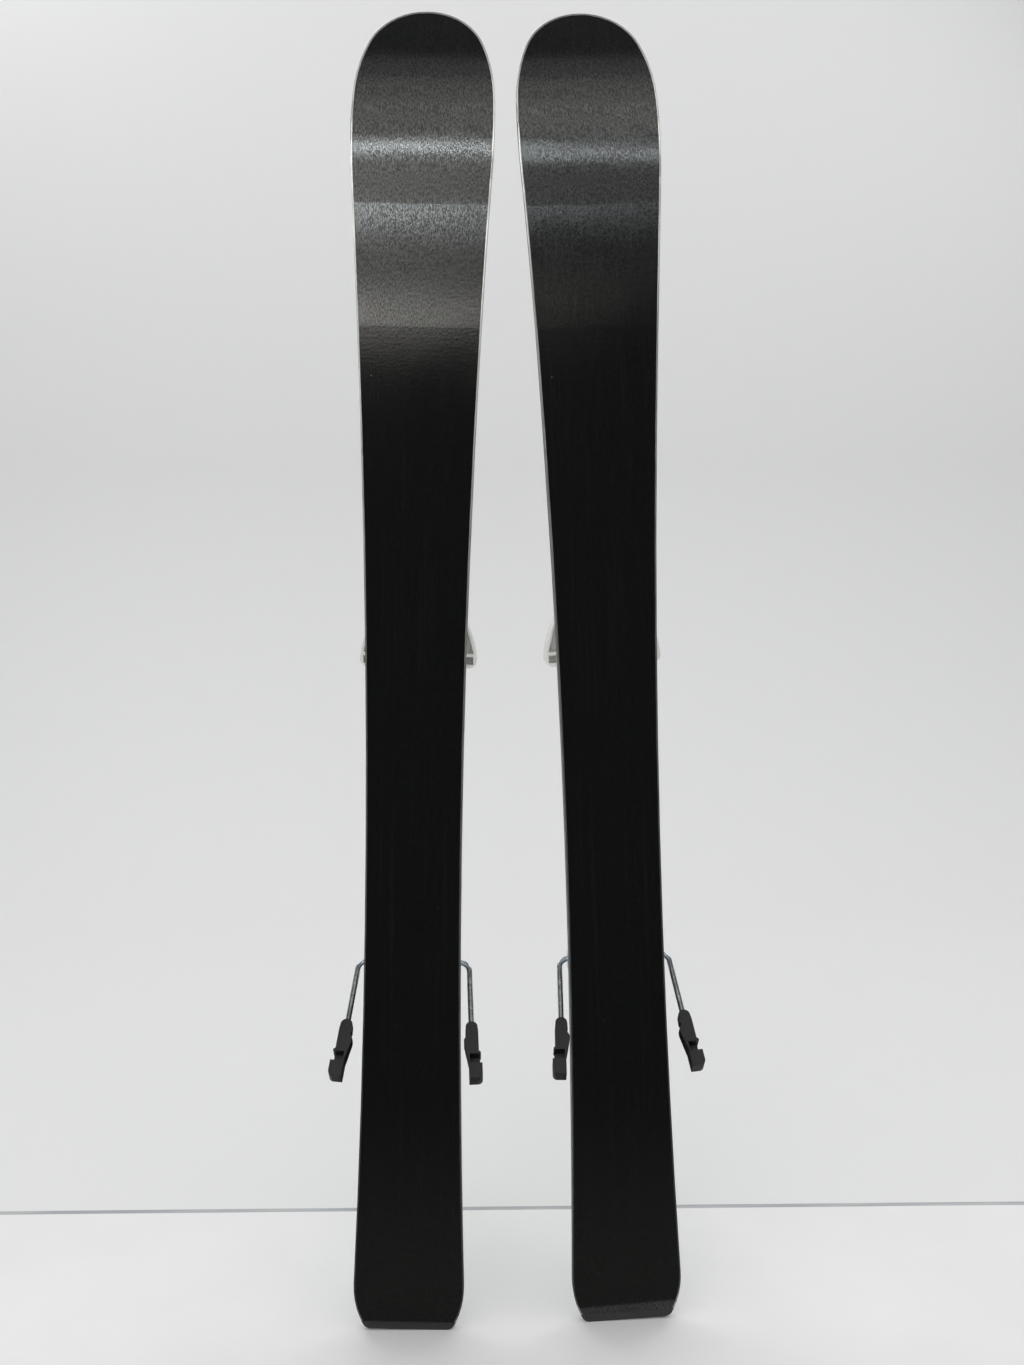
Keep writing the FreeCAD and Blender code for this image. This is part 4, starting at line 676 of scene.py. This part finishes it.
def add_panel(name, low, high, left, right, radiance, color):
    """A panel that the tips mirror, between two elevations in degrees, seen from the shovels."""
    middle = math.radians((low + high) / 2)
    aim = SHOVELS + Vector(((left + right) / 2, 0, 0))
    place = aim + PANEL_REACH * Vector((0, -math.cos(middle), math.sin(middle)))
    size = (right - left, PANEL_REACH * math.radians(high - low))
    add_light(name, place, aim, size, radiance, color, diffuse=False)


ROOM_LIGHT = 0.42
ROOM_MIRRORED = 0.06


def add_room():
    """Even light from all round, which shiny surfaces see as a dim room."""
    world = bpy.data.worlds.new("room")
    world.use_nodes = True
    tree = world.node_tree
    ray = tree.nodes.new("ShaderNodeLightPath")
    strength = tree.nodes.new("ShaderNodeMapRange")
    strength.inputs["To Min"].default_value = ROOM_LIGHT
    strength.inputs["To Max"].default_value = ROOM_MIRRORED
    tree.links.new(ray.outputs["Is Glossy Ray"], strength.inputs["Value"])
    sky = tree.nodes["Background"]
    sky.inputs["Color"].default_value = (0.97, 0.985, 1.0, 1)
    tree.links.new(strength.outputs["Result"], sky.inputs["Strength"])
    bpy.context.scene.world = world


def add_lights():
    """Soft lights above, in front and behind, and the panels that the bases mirror."""
    add_room()
    add_light("ceiling", (0, -0.4, 3.6), (0, 0.2, 0), (3.6, 3.0), 1.75, glossy=False)
    add_light("front_fill", (-0.4, -2.6, 1.5), (0, 0.4, 0.7), (2.4, 1.8), 1.3, glossy=False)
    add_light("back_left", (-1.5, 1.5, 2.6), (0, 0, 0.6), (1.2, 0.8), 3.0)
    add_light("back_right", (1.7, 1.2, 2.4), (0, 0, 0.6), (0.8, 1.2), 2.4)
    for panel in PANELS:
        add_panel(*panel)


CAMERA_PLACE = (-0.0602, -1.1000, 0.7302)
CAMERA_TURN = 3.270  # degrees to the right
CAMERA_DIP = 6.863  # degrees below the horizon
CAMERA_ROLL = 0.580  # degrees clockwise
CAMERA_LENS = 33.118  # in millimetres, on a sensor 36 millimetres wide


def add_camera():
    """The camera of the main view."""
    data = bpy.data.cameras.new("camera")
    data.lens = CAMERA_LENS
    data.sensor_width = 36.0
    camera = bpy.data.objects.new("camera", data)
    turn = (
        Matrix.Rotation(math.radians(-CAMERA_TURN), 4, "Z")
        @ Matrix.Rotation(math.radians(90 - CAMERA_DIP), 4, "X")
        @ Matrix.Rotation(math.radians(-CAMERA_ROLL), 4, "Z")
    )
    camera.matrix_world = Matrix.Translation(CAMERA_PLACE) @ turn
    bpy.context.scene.collection.objects.link(camera)
    bpy.context.scene.camera = camera


add_floor()
# Painted shade along the floor line
add_floor_line_shade()
add_backdrop()
add_lights()
add_camera()
bpy.context.scene.view_settings.view_transform = "Standard"
